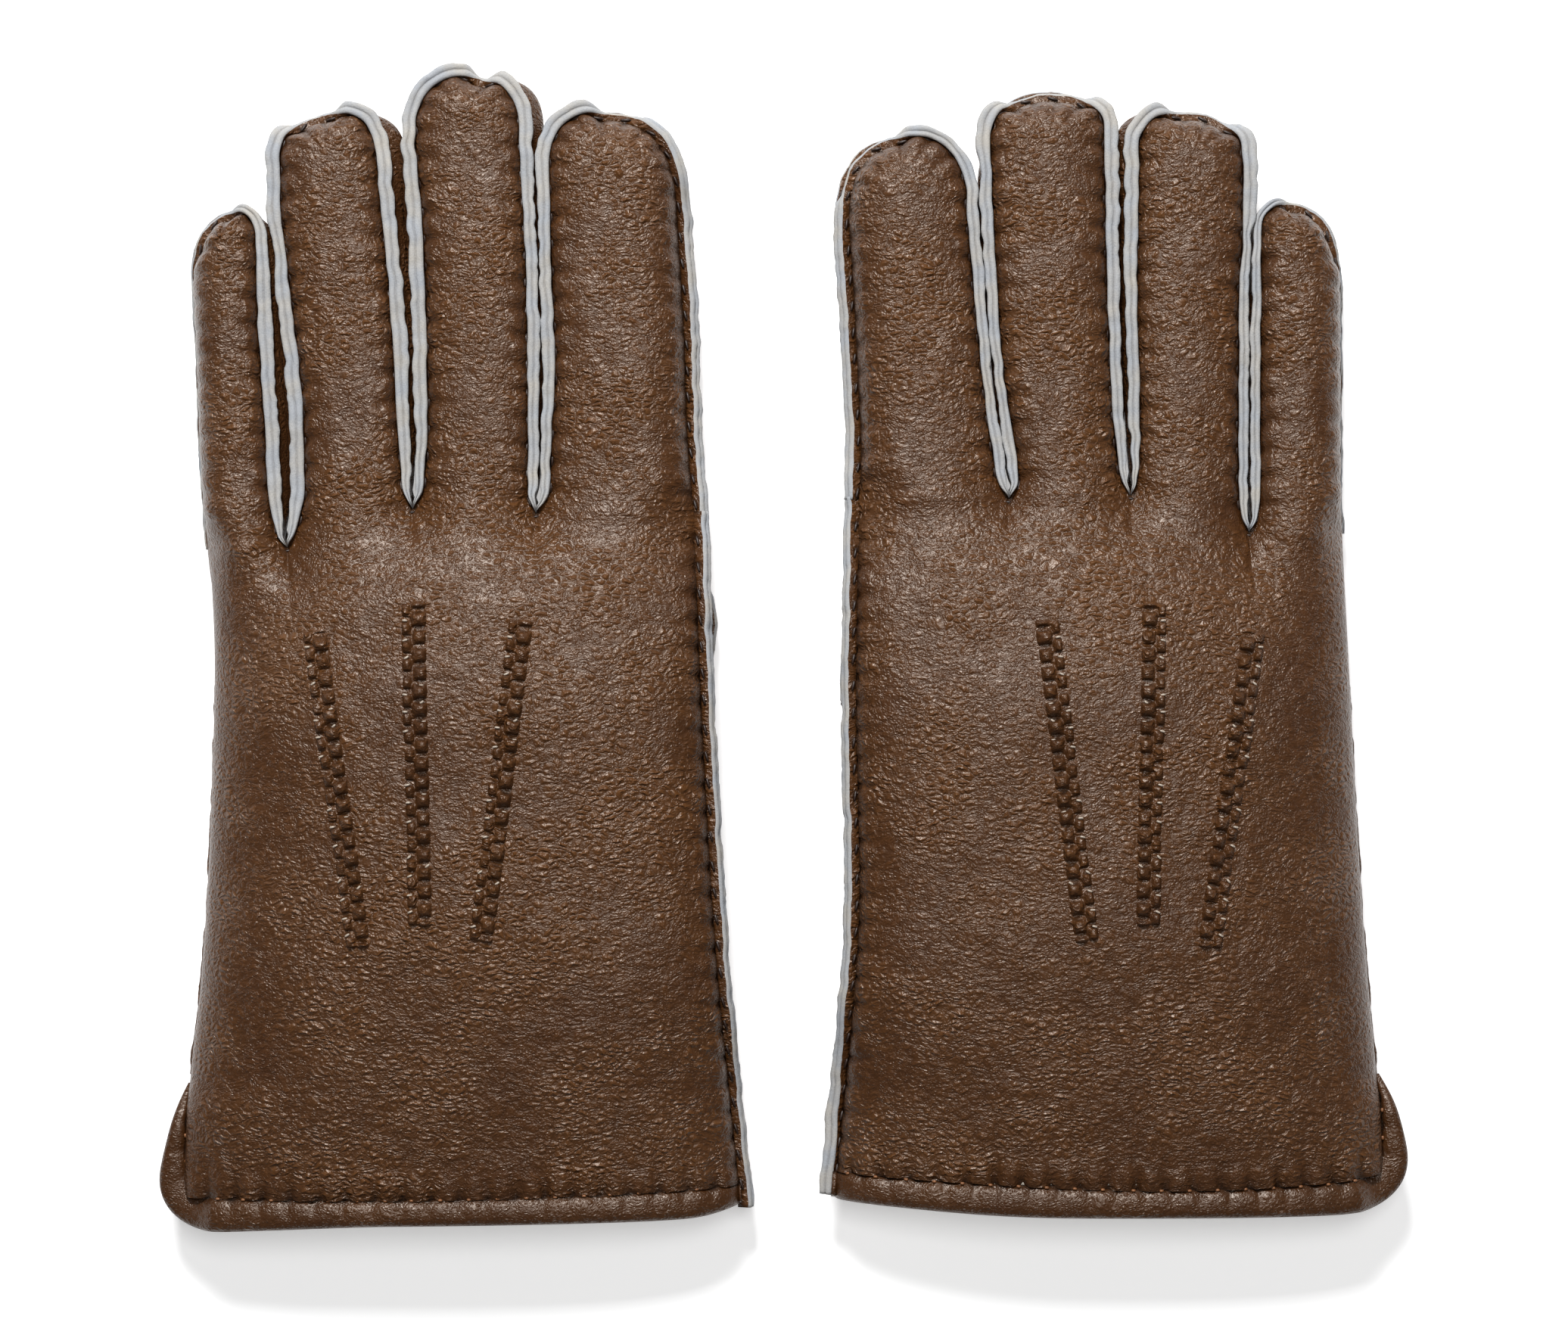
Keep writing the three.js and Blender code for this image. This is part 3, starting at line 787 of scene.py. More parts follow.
def flange(
    base: Array,
    normal: Array,
    lean: Array,
    thick: Array,
    high: Array,
    seed: int,
    blunt: tuple[bool, bool] = (False, False),
) -> Patch:
    """The raised edge of an out-seam: two layers of hide, stitched together and cut off square.

    The section is carried along the seam. At each point it stands on the seam, tilted outwards by
    its lean; its thickness and height waver a little and each stitch draws it in.

    Args:
        base: Points of the seam.
        normal: Unit normals in plan, away from the finger.
        lean: Degrees from upright at each point.
        thick: Thickness of both layers at each point.
        high: Height at each point.
        seed: Picks the wavering.
        blunt: Whether it keeps its full size up to its first and its last point.

    Returns:
        A grid that closes round its section and at both ends.
    """
    section = np.array(FLANGE_SECTION)
    arc = lengths(base)
    flat, rise, over = tilted(normal, lean)
    track = np.stack([arc, 0 * arc, 0 * arc], axis=1)
    grow = 1 + 0.07 * noise(track, 5.5, seed) + 0.05 * noise(track, 1.4, seed + 1) - 0.06 * pinch(arc, width=1.3)
    tall = (1 + 0.10 * noise(track, 7.0, seed + 2) + 0.05 * noise(track, 2.1, seed + 3)) * high
    part = 0.05 * noise(track, 6.0, seed + 4)
    base = base + flat * (0.2 * noise(track, 3.1, seed + 6) * np.minimum(1, high / FLANGE_HEIGHT))[:, None]
    share = section[:, 0] + part[:, None] * (section[:, 0] * (1 - section[:, 0]) * 4)
    inwards = np.minimum(arc + 9.0 * blunt[0], arc[-1] - arc + 9.0 * blunt[1])
    taper = np.minimum(1.0, (inwards + 0.05) / 1.2)
    across = share * (thick * grow * taper)[:, None]
    height = section[:, 1] * (tall * taper)[:, None]
    ragged = np.stack(np.broadcast_arrays(arc[:, None], section[:, 0] * 6.0, 0.0), axis=-1)
    height = height + np.where(section[:, 1] > 0.5, 0.09, 0.0) * noise(ragged, 0.8, seed + 5)
    points = base[:, None] + across[..., None] * over[:, None] + height[..., None] * rise[:, None]
    # painted shade at each stitch hole along the flange's foot
    stitched = 0.85 * pinch(arc, width=0.8)[:, None] * np.isin(np.arange(len(section)), (0, 1))
    points, dark = capped(points, np.maximum(section[:, 2][None], stitched))
    return Patch(points, dark, wrap=True, strips=section[:, 3].astype(int))


def stitches(centre: Array, along: Array, length: float, radius: float) -> list[Patch]:
    """Short lengths of thread, each a spindle of five rings of six points.

    Args:
        centre: Middle of each stitch.
        along: Direction of each stitch.
        length: Length of a stitch.
        radius: Radius of the thread.

    Returns:
        One grid to a stitch, whose rows are closed rings.
    """
    along = along / (np.linalg.norm(along, axis=1, keepdims=True) + 1e-9)
    side = np.cross(along, [0.0, 0.0, 1.0])
    side /= np.linalg.norm(side, axis=1, keepdims=True) + 1e-9
    up = np.cross(side, along)
    at = np.array([-1.0, -0.72, 0.0, 0.72, 1.0]) * length / 2
    wide = np.array([0.0, 0.85, 1.0, 0.85, 0.0]) * radius
    turn = np.linspace(0, 2 * np.pi, 6, endpoint=False)
    ring = side[:, None, None] * np.cos(turn)[:, None] + up[:, None, None] * np.sin(turn)[:, None]
    points = centre[:, None, None] + along[:, None, None] * at[:, None, None] + ring * wide[:, None, None]
    return [Patch(p, wrap=True) for p in points]


def seam_stitches(base: Array, normal: Array, lean: Array, lift: float, proud: float) -> list[Patch]:
    """Stitches along the inner foot of a flange, one to a pitch.

    Args:
        base: Points of the seam.
        normal: Unit normals in plan.
        lean: Degrees from upright at each point.
        lift: How far up the flange they lie.
        proud: How far they stand off its inner face.

    Returns:
        One grid to a stitch.
    """
    arc = lengths(base)
    at = np.arange(STITCH_PITCH, arc[-1] - 1.0, STITCH_PITCH)
    pick = np.clip(np.searchsorted(arc, at), 1, len(arc) - 2)
    _, rise, over = tilted(normal[pick], lean[pick])
    centre = base[pick] + rise * lift - over * proud
    return stitches(centre, base[pick + 1] - base[pick - 1] + 0.35 * rise, 2.6, 0.34)


# ---- Fingers ----------------------------------------------------------------------------------------
@dataclass(frozen=True)
class FingerCut:
    """The cut of one finger: both edges in plan from the gap up, its tip and how its seams lie."""

    name: str
    low: Stations  # [y, q] of the edge on the little finger's side
    high: Stations  # [y, q] of the edge on the thumb's side
    tip: tuple[float, float]  # q, y
    round_low: float  # length of the rounding on each side of the tip
    round_high: float
    root: float  # y of the hinge
    folded: tuple[float, float]  # across the tip, -1 to 1, where the flange is folded back
    seams: tuple[Lean, Lean] = (Lean.UPRIGHT, Lean.UPRIGHT)
    slits: tuple[float, float] = (1.2, 1.2)
    bulge: float = 0.0
    nodes: tuple[str, ...] = ()  # names of its fourchettes


class Profile(Enum):
    """Which face of a finger a skin covers."""

    BACK = 1
    PALM = -1


class Finger:
    """One finger: a back and a palm skin, the strips between them, two flanges, thread and fleece."""

    RINGS = 22  # from the outline to the spine
    ROOT_FADE = 9.0  # over which the section ripens and the seam comes down from the crotch
    WALL_SINK = 0.6  # how far a wall sinks in where it has no neighbour
    WALL_BULGE = 3.3  # how far it may bulge towards one
    PALM_LEAN = 118.0  # degrees from upright of the palm's flange
    LINING_INSET = 3.4

    def __init__(self, cut: FingerCut, place: Place, gaps: tuple[Callable, Callable], finishes: Finishes) -> None:
        """Traces the outline and works out the seam's path.

        Args:
            cut: The finger's cut.
            place: The glove's place.
            gaps: For each side, the distance to the next finger's edge at given y.
            finishes: Materials.
        """
        self.cut, self.place, self.finishes = cut, place, finishes
        self.label = f"{place.side}_{cut.name}"
        self._trace(gaps)

    def _side(self, edge: Stations, rounding: float) -> Array:
        """One side of the outline: up its edge, then a quarter of a superellipse to the tip.

        Args:
            edge: Stations of the edge, [y, q].
            rounding: Length of the rounding before the tip.

        Returns:
            Points in plan, from the root up.
        """
        tip_q, tip_y = self.cut.tip
        shoulder = tip_y - rounding
        y = np.linspace(edge[0][0], shoulder, 120)
        angle = np.linspace(0, np.pi / 2, 60)[1:]
        full = float(through(edge, shoulder))
        q = tip_q + (full - tip_q) * np.cos(angle) ** (2 / 2.25)
        over = shoulder + rounding * np.sin(angle) ** (2 / 2.25)
        return np.concatenate([np.stack([through(edge, y), y], 1), np.stack([q, over], 1)])

    def _trace(self, gaps: tuple[Callable, Callable]) -> None:
        """Works out the outline, its normals, the lean and height of its seam, and the spine."""
        cut = self.cut
        low, high = self._side(cut.low, cut.round_low), self._side(cut.high, cut.round_high)[::-1]
        line = resample(np.concatenate([low, high[1:]]), STEP)
        self.line, self.normal, self.arc = line, outward(line), lengths(line)
        y, q, count = line[:, 1], line[:, 0], len(line)
        peak = int(np.argmax(y))
        self.peak = peak
        on_low = np.arange(count) < peak
        ends = through(cut.low, cut.tip[1]), through(cut.high, cut.tip[1])
        share = 2 * (q - ends[0]) / (ends[1] - ends[0]) - 1
        near_tip = y > cut.tip[1] - 0.8 * np.where(on_low, cut.round_low, cut.round_high)
        folded = near_tip & (share > cut.folded[0]) & (share < cut.folded[1])
        sides = np.where(on_low, cut.seams[0].value, cut.seams[1].value)
        self.lean = soften(np.where(folded, Lean.BACK.value, sides), 2)
        rims = {Lean.UPRIGHT: 15.5, Lean.OUTWARD: 11.5, Lean.UNDER: 9.5}
        base_rims = {Lean.UPRIGHT: CROTCH_RIM, Lean.OUTWARD: 14.5, Lean.UNDER: 10.0}
        rim = np.where(on_low, rims[cut.seams[0]], rims[cut.seams[1]])
        self.rim = soften(np.where(folded, 12.5, np.where(near_tip, 14.5, rim)), 5)
        for at_base, seam in ((self.arc, cut.seams[0]), (self.arc[-1] - self.arc, cut.seams[1])):
            self.rim += (base_rims[seam] - rims[seam]) * np.exp(-((at_base / self.ROOT_FADE) ** 2))
        palm_rims = {Lean.UPRIGHT: 5.0, Lean.OUTWARD: 8.0, Lean.UNDER: 8.0}
        sole = np.where(on_low, palm_rims[cut.seams[0]], palm_rims[cut.seams[1]])
        self.sole = soften(np.where(near_tip, 7.0, sole), 6)
        under = soften(np.where(on_low, cut.seams[0] is Lean.UNDER, cut.seams[1] is Lean.UNDER) & ~folded, 3)
        inset = FLANGE_HEIGHT * np.sin(np.radians(self.lean))
        self.seam = line - self.normal * (inset * (1 - under))[:, None]
        foot = line - self.normal * mix(inset, 1.4, under)[:, None]
        self.foot = np.concatenate([foot, (self.rim - 0.35)[:, None]], axis=1)
        gap = np.where(on_low, gaps[0](y), gaps[1](y))
        self.gap = gap
        slit = np.where(on_low, cut.slits[0], cut.slits[1])
        self.thick = soften(np.clip((gap - slit) / 2, 0.35, FLANGE_THICKNESS), 2)
        self.thick = np.minimum(self.thick, 0.3 + 0.55 * np.minimum(self.arc, self.arc[-1] - self.arc))
        if Lean.OUTWARD in cut.seams or Lean.UNDER in cut.seams:
            outer = ~on_low if cut.seams[1] is not Lean.UPRIGHT else on_low
            self.thick = np.where(outer, FLANGE_THICKNESS, self.thick)
        starts = line[0, 1], line[-1, 1]
        self.end_y = cut.tip[1] - 0.46 * (ends[1] - ends[0])
        begun = np.where(on_low, starts[0], starts[1])
        rise = np.clip((y - begun) / (self.end_y - begun), 0, 1)
        self.base_mid = (line[0] + line[-1]) / 2
        spine_y = mix(self.base_mid[1], self.end_y, rise)
        middle = (through(cut.low, spine_y) + through(cut.high, spine_y)) / 2
        middle = mix(self.base_mid[0], middle, smooth((spine_y - self.base_mid[1]) / self.ROOT_FADE))
        self.spine = np.stack([middle, spine_y], 1)
        self.from_base = spine_y - self.base_mid[1]

    def skin(self, profile: Profile) -> tuple[Array, Array]:
        """A face of the finger, as rings from its outline in to its spine.

        The plan runs straight from the seam to the spine. The height rises from the seam by a
        superellipse, softer at the root, and the seam's gathers and a slow noise are taken off it.

        Args:
            profile: Back or palm.

        Returns:
            The grid of points and the share of dark at each.
        """
        step = 1 - np.cos(np.pi / 2 * np.arange(self.RINGS + 1) / self.RINGS)
        seam = self.seam if profile is Profile.BACK else self.line - self.normal * 0.5
        plan = seam[:, None] + (self.spine - seam)[:, None] * step[None, :, None]
        depth = np.linalg.norm(self.spine - seam, axis=1)[:, None] * step
        ripe = smooth(self.from_base / self.ROOT_FADE)[:, None]
        bow = mix(1 - (1 - step) ** 2, (1 - (1 - step) ** 2.35) ** (1 / 2.35), ripe)
        arc = np.broadcast_to(self.arc[:, None], depth.shape)
        sink, dark = gathers(arc, depth)
        fade = smooth(np.minimum(self.arc, self.arc[-1] - self.arc) / 5.0)[:, None]
        where = np.concatenate([plan, np.full((*depth.shape, 1), 3.0 * profile.value)], axis=-1)
        slow = (0.28 * noise(where, 13.0, 21) + 0.2 * noise(where, 5.0, 22) + 0.11 * noise(where, 2.3, 23)) * ripe
        if profile is Profile.BACK:
            top = FINGER_TOP + 1.6 * np.exp(-self.from_base / 7.0)[:, None]
            high = self.rim[:, None] + (top - self.rim[:, None]) * bow - sink * fade + slow * (1 - (1 - step) ** 4)
        else:
            high = self.sole[:, None] * (1 - bow) + 0.4 * sink * fade + 0.25 * (slow + 0.5) * bow
            dark = dark * 0.7
        return np.concatenate([plan, high[..., None]], axis=-1), dark * fade

    def base_row(self, profile: Profile) -> Array:
        """The row where the finger joins the hand, from its low edge over the middle to its high edge."""
        grid, _ = self.skin(profile)
        return np.concatenate([grid[0], grid[-1][::-1][1:]])

    def hold(self) -> Hold:
        """The hand and the finger as two bodies, with the ends of the stretch about the finger's root."""
        start = max(self.line[0, 1], self.line[-1, 1]) + 1.5
        ends = [self.place.world(np.array([self.base_mid[0], y, 10.0])) for y in (start, 2 * self.cut.root - start)]
        return Hold(f"{self.place.side}_hand", self.label, Vector(ends[0]), Vector(ends[1]))

    def _tucked(self, grid: Array, dark: Array, under: Callable, sign: float) -> Patch:
        """The skin with a hidden row before its first and after its last, laid just under the hand.

        Args:
            grid: Points of the skin.
            dark: Share of dark at each.
            under: The hand's height at a row.
            sign: 1 on the back, -1 on the palm.

        Returns:
            The longer grid.
        """
        rows = []
        for end in (0, -1):
            row = grid[end] - np.array([0.0, TUCK, 0.0])
            row[:, 2] = under(row, grid[end, :, 2]) - TUCK_DROP * sign
            rows.append(row[None])
        points = np.concatenate([rows[0], grid, rows[1]])
        return Patch(points, np.concatenate([dark[:1], dark, dark[-1:]]))

    def build(self, under_back: Callable, under_palm: Callable) -> None:
        """Builds and dresses every piece of the finger.

        Args:
            under_back: The hand's height just behind the finger's root, on the back.
            under_palm: The same on the palm.
        """
        hide, place, hold, label = self.finishes.leather, self.place, self.hold(), self.label
        for profile, under in ((Profile.BACK, under_back), (Profile.PALM, under_palm)):
            patch = self._tucked(*self.skin(profile), under, profile.value)
            side = profile.name.lower()
            skin = assemble(f"{label}_{side}_skin", [patch], [hide], place, Vector((0, 0, profile.value)))
            hold.take(skin, "leather", f"{label}_{side}")
        self._build_strip(hold)
        seams = self._build_flanges(hold)
        thread = assemble(f"{label}_stitches", seams, [self.finishes.thread], place)
        hold.take(thread, "thread")
        self._build_lining(hold)

    def _build_strip(self, hold: Hold) -> None:
        """The fourchettes: a wall from under the back's flange down to the palm's seam, round the tip."""
        flat, _, over = tilted(self.normal, self.lean)
        top = self.foot + over * (0.85 * self.thick)[:, None]
        inner = self.line - self.normal * 0.4
        foot = np.concatenate([inner, (self.sole + 0.2)[:, None]], axis=1)
        down = np.linspace(0, 1, 9)[None, :, None]
        points = mix(top[:, None], foot[:, None], down)
        y, tip = self.line[:, 1], self.cut.tip[1]
        slack = -self.WALL_SINK
        room = np.clip(self.gap / 2 - 1.0, slack, self.WALL_BULGE)
        bulge = np.where((self.gap < 10) & (y < tip - 4), room, slack)
        lump = smooth((y - tip + 25) / 9) * smooth((tip - 1.0 - y) / 4) * (np.arange(len(y)) > self.peak)
        bulge = np.maximum(bulge, mix(slack, 2.6 + self.cut.bulge, lump * (self.cut.bulge > 0)))
        bulge = soften(bulge, 3)
        points = points + flat[:, None] * bulge[:, None, None] * np.sin(np.pi * down)
        # the whole wall gets a quarter share of painted shade, for the shade between the fingers
        strip = assemble(f"{self.label}_side_strip", [Patch(points, 0.25)], [self.finishes.leather], self.place)
        self._face_out(strip)
        nodes = [f"{self.label}_fourchette_{n}" for n in self.cut.nodes]
        hold.take(strip, "leather", *nodes)

    def _face_out(self, strip: bpy.types.Object) -> None:
        """Turns a wall's faces away from the finger's middle.

        Args:
            strip: The wall, whose first third is one side of the finger.
        """
        mesh = strip.data
        centre = self.place.world(np.array([self.base_mid[0], (self.base_mid[1] + self.end_y) / 2, 10.0]))
        first = np.array([p.center for p in mesh.polygons[: len(mesh.polygons) // 3]])
        normal = np.array([p.normal for p in mesh.polygons[: len(mesh.polygons) // 3]])
        if ((first - centre) * normal)[:, :2].sum() < 0:
            mesh.flip_normals()

    def _build_flanges(self, hold: Hold) -> list[Patch]:
        """The stitched flanges round the back and the palm; returns their stitches."""
        two = [self.finishes.leather, self.finishes.edge]
        full = np.full(len(self.foot), FLANGE_HEIGHT)
        seed = 31 + len(self.cut.name) * 7 + int(self.cut.root)
        blunt = tuple(lean is not Lean.UPRIGHT for lean in self.cut.seams)
        back = flange(self.foot, self.normal, self.lean, self.thick, full, seed, blunt)
        piece = assemble(f"{self.label}_back_flange", [back], two, self.place)
        hold.take(piece, "leather")
        inner = self.line - self.normal * 0.6
        base = np.concatenate([inner, (self.sole + 0.3)[:, None]], axis=1)
        lean = np.full(len(base), self.PALM_LEAN)
        slim = np.minimum(self.thick, 2.2)
        palm = flange(base, self.normal, lean, slim, full * 0.8, seed + 9, blunt)
        piece = assemble(f"{self.label}_palm_flange", [palm], two, self.place)
        hold.take(piece, "leather")
        return seam_stitches(self.foot, self.normal, self.lean, 0.8, 0.3) + seam_stitches(
            base, self.normal, lean, 0.6, 0.12
        )

    def _build_lining(self, hold: Hold) -> None:
        """The fleece inside: a closed form of ovals along the spine."""
        low, high = self.base_mid[1] + 3, self.cut.tip[1] - 4.5
        t = np.linspace(0, 1, 26)[:, None]
        y = mix(low, high, t)
        inner = self.LINING_INSET
        half = (through(self.cut.high, y) - through(self.cut.low, y)) / 2 - inner
        mid = (through(self.cut.high, y) + through(self.cut.low, y)) / 2
        tip = np.sqrt(np.clip(1 - np.clip((y - high + 11) / 11, 0, 1) ** 2.4, 0, 1))
        shrink = tip * np.sqrt(np.clip(t * 26, 0, 1))
        turn = np.linspace(0, 2 * np.pi, 28, endpoint=False)
        q = mid + half * shrink * np.cos(turn)
        z = 9.6 + (FINGER_TOP / 2 - inner) * shrink * np.sin(turn)
        points = np.stack([q, np.broadcast_to(y, q.shape), z], -1)
        wool = assemble(f"{self.label}_lining", [Patch(points, wrap=True)], [self.finishes.wool], self.place)
        hold.take(wool, "fleece", f"{self.label}_fleece")


# ---- Hand -------------------------------------------------------------------------------------------
@dataclass(frozen=True)
class HandCut:
    """The cut of the hand: its two edges, the line of its cuff, and the bound hem."""

    little_edge: Stations  # [y, q]
    index_edge: Stations
    cuff: Stations  # [q, y] of the hem's stitch line
    hem: tuple[tuple[float, float, float], ...]  # q, y and width along the hem's stitch line
    lean: Stations  # of the side seam's flange, [y, degrees]
    thumb_edge: float  # q of the thumb's root at the index finger's side


HAND_TOP = ((-126.0, 24.0), (-95.0, 28.0), (-60.0, 30.6), (-20.0, 30.6), (8.0, 27.6), (33.0, 21.4))
LITTLE_SEAM = ((-126.0, 13.8), (-105.0, 13.8), (-96.0, 10.4), (36.0, 10.0))
INDEX_SEAM = ((-126.0, 12.0), (-106.0, 12.5), (-74.0, 19.5), (4.0, 19.5), (33.0, 14.5))
ROWS_OF_POINTS = (
    ("little", (-32.5, 4.5), (-22.0, -67.5)),
    ("middle", (-10.0, 11.0), (-8.2, -62.5)),
    ("index", (14.3, 7.0), (5.4, -66.0)),
)


class Hand:
    """The hand: back and palm panels, three rows of points, side seams, bound hem and fleece."""

    POINT_PITCH = 4.07  # between two pillows of a row
    POINT_HALF = 3.1  # half the width of a row
    SEAM_INSET = 1.9  # of the index finger's side seam, in from the edge
    CUFF_Y = -124.0
    BACK_POWER = 2.5  # of the superellipse across the back; more is boxier
    PALM_POWER = 2.8

    def __init__(self, cut: HandCut, place: Place, fingers: list[Finger], finishes: Finishes) -> None:
        """Takes the fingers' root rows, which the panels run up to."""
        self.cut, self.place, self.finishes, self.fingers = cut, place, finishes, fingers
        self.rows = {p: self._roots(p) for p in Profile}

    def _roots(self, profile: Profile) -> Array:
        """The fingers' root rows end to end, with each shared gap point once."""
        parts = [f.base_row(profile) for f in self.fingers]
        return np.concatenate([parts[0]] + [p[1:] for p in parts[1:]])

    def across(self, q: Array, y: Array) -> tuple[Array, Array, Array]:
        """Share across the hand, -1 to 1, and the heights of the seam for the back and for the palm.

        Args:
            q: Places across.
            y: Places along.

        Returns:
            The share, the back's seam height and the palm's.
        """
        low, high = through(self.cut.little_edge, y), through(self.cut.index_edge, y) - self.SEAM_INSET
        share = np.clip((q - (low + high) / 2) / ((high - low) / 2), -1, 1)
        side = smooth((q + 8) / 22)
        little = through(LITTLE_SEAM, y)
        index = through(INDEX_SEAM, y)
        return share, mix(little, index, side), mix(HAND_DEPTH - little, index, side)

    def back_height(self, q: Array, y: Array) -> Array:
        """Height of the back of the hand: a superellipse from seam to seam."""
        share, seam, _ = self.across(q, y)
        arch = (1 - np.abs(share) ** self.BACK_POWER) ** (1 / self.BACK_POWER)
        return seam + (through(HAND_TOP, y) - seam) * arch

    def bed(self, q: Array, y: Array) -> Array:
        """Height of the hollow that the tucked thumb presses into the palm.

        Args:
            q: Places across.
            y: Places along.

        Returns:
            Three S-curves multiplied: across, at the cuff's end and at the tip.
        """
        side = q - mix(47.5, 39.5, (y + 56) / 76)
        return 14.3 * smooth((side + 27) / 10) * smooth((y + 104) / 18) * smooth((33 - y) / 13)

    def palm_height(self, q: Array, y: Array) -> Array:
        """Height of the palm: flat on the table, raised over the thumb, rolled up to the seams."""
        share, _, seam = self.across(q, y)
        floor = self.bed(q, y) + 0.2
        return seam - (seam - floor) * (1 - np.abs(share) ** self.PALM_POWER) ** (1 / self.PALM_POWER)

    def blended(self, profile: Profile, q: Array, y: Array, root_z: Array, away: Array) -> Array:
        """A panel's height near the fingers: the hand's own, drawn to the root row's over a stretch.

        Args:
            profile: Back or palm.
            q: Places across.
            y: Places along.
            root_z: Height of the root row.
            away: Distance from the root row.

        Returns:
            The height, mixed by the cube of the nearness.
        """
        own = self.back_height(q, y) if profile is Profile.BACK else self.palm_height(q, y)
        keep = np.clip(1 - away / HOLD_LENGTH, 0, 1) ** 3
        return mix(own, root_z, keep)

    def panel(self, profile: Profile) -> tuple[Array, Array]:
        """A panel as rows from the cuff up to the fingers' roots.

        Each column keeps its share across the hand. Heights are the hand's own with the roots'
        valleys fading in, less the gathers at the cuff and the side seam, creases that fan out
        below each gap, and a slow noise. The dark share is painted shade along those gathers
        and at the foot of each gap.

        Args:
            profile: Back or palm.

        Returns:
            The grid of points and the share of dark at each.
        """
        roots = self.rows[profile]
        cut = self.cut
        share = (roots[:, 0] - roots[0, 0]) / (roots[-1, 0] - roots[0, 0])
        ends = through(cut.little_edge, self.CUFF_Y), through(cut.index_edge, self.CUFF_Y) - self.SEAM_INSET
        cuff_y = through(cut.cuff, mix(ends[0], ends[1], share))
        count = int((roots[:, 1].mean() - cuff_y.mean()) / STEP)
        v = np.linspace(0, 1, count + 1)[:, None]
        y = mix(cuff_y[None], roots[:, 1][None], v)
        low, high = through(cut.little_edge, y), through(cut.index_edge, y) - self.SEAM_INSET
        near = np.clip(1 - (roots[:, 1] - y) / 12.0, 0, 1) ** 2
        q = mix(mix(low, high, share), roots[:, 0][None], near)
        away = roots[:, 1] - y
        z = self.blended(profile, q, y, roots[:, 2][None], away)
        inner = smooth(away / 10.0) * (1 - np.abs(2 * share - 1) ** 8)
        slow = self._slow(q, y, 3.0 * profile.value)
        sign = profile.value
        dark = np.zeros(q.shape)
        z = z + sign * slow * inner if profile is Profile.BACK else z + 0.4 * (slow + 0.7) * inner
        for arc, depth, pitch, fade in (
            (y, high - q, STITCH_PITCH, smooth(away / 5.0)),
            (q, (y - cuff_y) * 0.6, HEM_PITCH, np.ones(q.shape)),
        ):
            sink, shade = gathers(arc, np.maximum(depth, 0), pitch)
            z = z - sign * sink * fade
            dark = np.maximum(dark, shade * fade)
        for finger in self.fingers[1:]:
            gap = finger.line[0]
            far = np.hypot(q - gap[0], y - gap[1])
            fan = np.sin(11 * np.arctan2(q - gap[0], gap[1] - y + 0.5) + 1.3) * np.exp(-(((far - 4) / 4.0) ** 2))
            z = z - sign * 0.13 * fan
            # painted shade at the foot of each gap between two fingers
            dark = np.maximum(dark, 0.85 * np.exp(-((far / 1.1) ** 2)))
        return np.stack([q, y, z], -1), dark

    def build(self) -> None:
        """Builds and dresses every piece of the hand."""
        self.hold = Hold(f"{self.place.side}_hand")
        for profile in Profile:
            grid, dark = self.panel(profile)
            tuck = grid[-1:] + np.array([0.0, TUCK, -TUCK_DROP * profile.value])
            if profile is Profile.BACK:
                tuck[..., 2] -= 0.25
            patch = Patch(np.concatenate([grid, tuck]), np.concatenate([dark, dark[-1:]]))
            side = profile.name.lower()
            name = f"{self.place.side}_{side}_skin"
            panel = assemble(name, [patch], [self.finishes.leather], self.place, Vector((0, 0, profile.value)))
            self.hold.take(panel, "leather", f"{self.place.side}_{side}_panel")
        self._build_points()
        self._build_side_seams()
        self._build_hem()
        self._build_lining()

    def _build_points(self) -> None:
        """The raised double rows: two columns of pillows, set in step, with pale thread between them that also
        stands in as painted glints.
        """
        for name, top, bottom in ROWS_OF_POINTS:
            ends = np.array([bottom, top], float)
            along = ends[1] - ends[0]
            length = float(np.linalg.norm(along))
            along /= length
            side = np.array([along[1], -along[0]])
            t = np.linspace(0, length, 330)[:, None]
            c = np.linspace(-self.POINT_HALF, self.POINT_HALF, 27)[None]
            q, y = (ends[0][k] + along[k] * t + side[k] * c for k in (0, 1))
            wave = 0.35 * noise(np.stack([t, 0 * t, 0 * t], -1), 9.0, 51)
            pillow, holes = self._pillows(t, c + wave)
            edge = smooth((self.POINT_HALF - np.abs(c)) / 0.9) * smooth(np.minimum(t, length - t) / 1.2)
            z = self.back_height(q, y) + self._slow(q, y) + mix(-0.35, 0.04 + 1.7 * pillow - 1.2 * holes, edge)
            grid = np.stack([q, y, z], -1)
            # the dark share is painted shade in the holes between the pillows
            rows = assemble(
                f"{self.place.side}_{name}_points", [Patch(grid, np.clip(1.15 * holes * edge, 0, 1))],
                [self.finishes.leather], self.place, Vector((0, 0, 1)),
            )  # fmt: skip
            self.hold.take(rows, "leather", f"{self.place.side}_points_{name}")
            self._build_point_thread(name, ends, along, side, length)

    @staticmethod
    def _rounded(share: Array) -> Array:
        """A pillow's height across it, from 1 in its middle to 0 at share 1, full and round-shouldered."""
        return np.clip(1 - np.abs(share) ** 2.2, 0, 1) ** 0.8

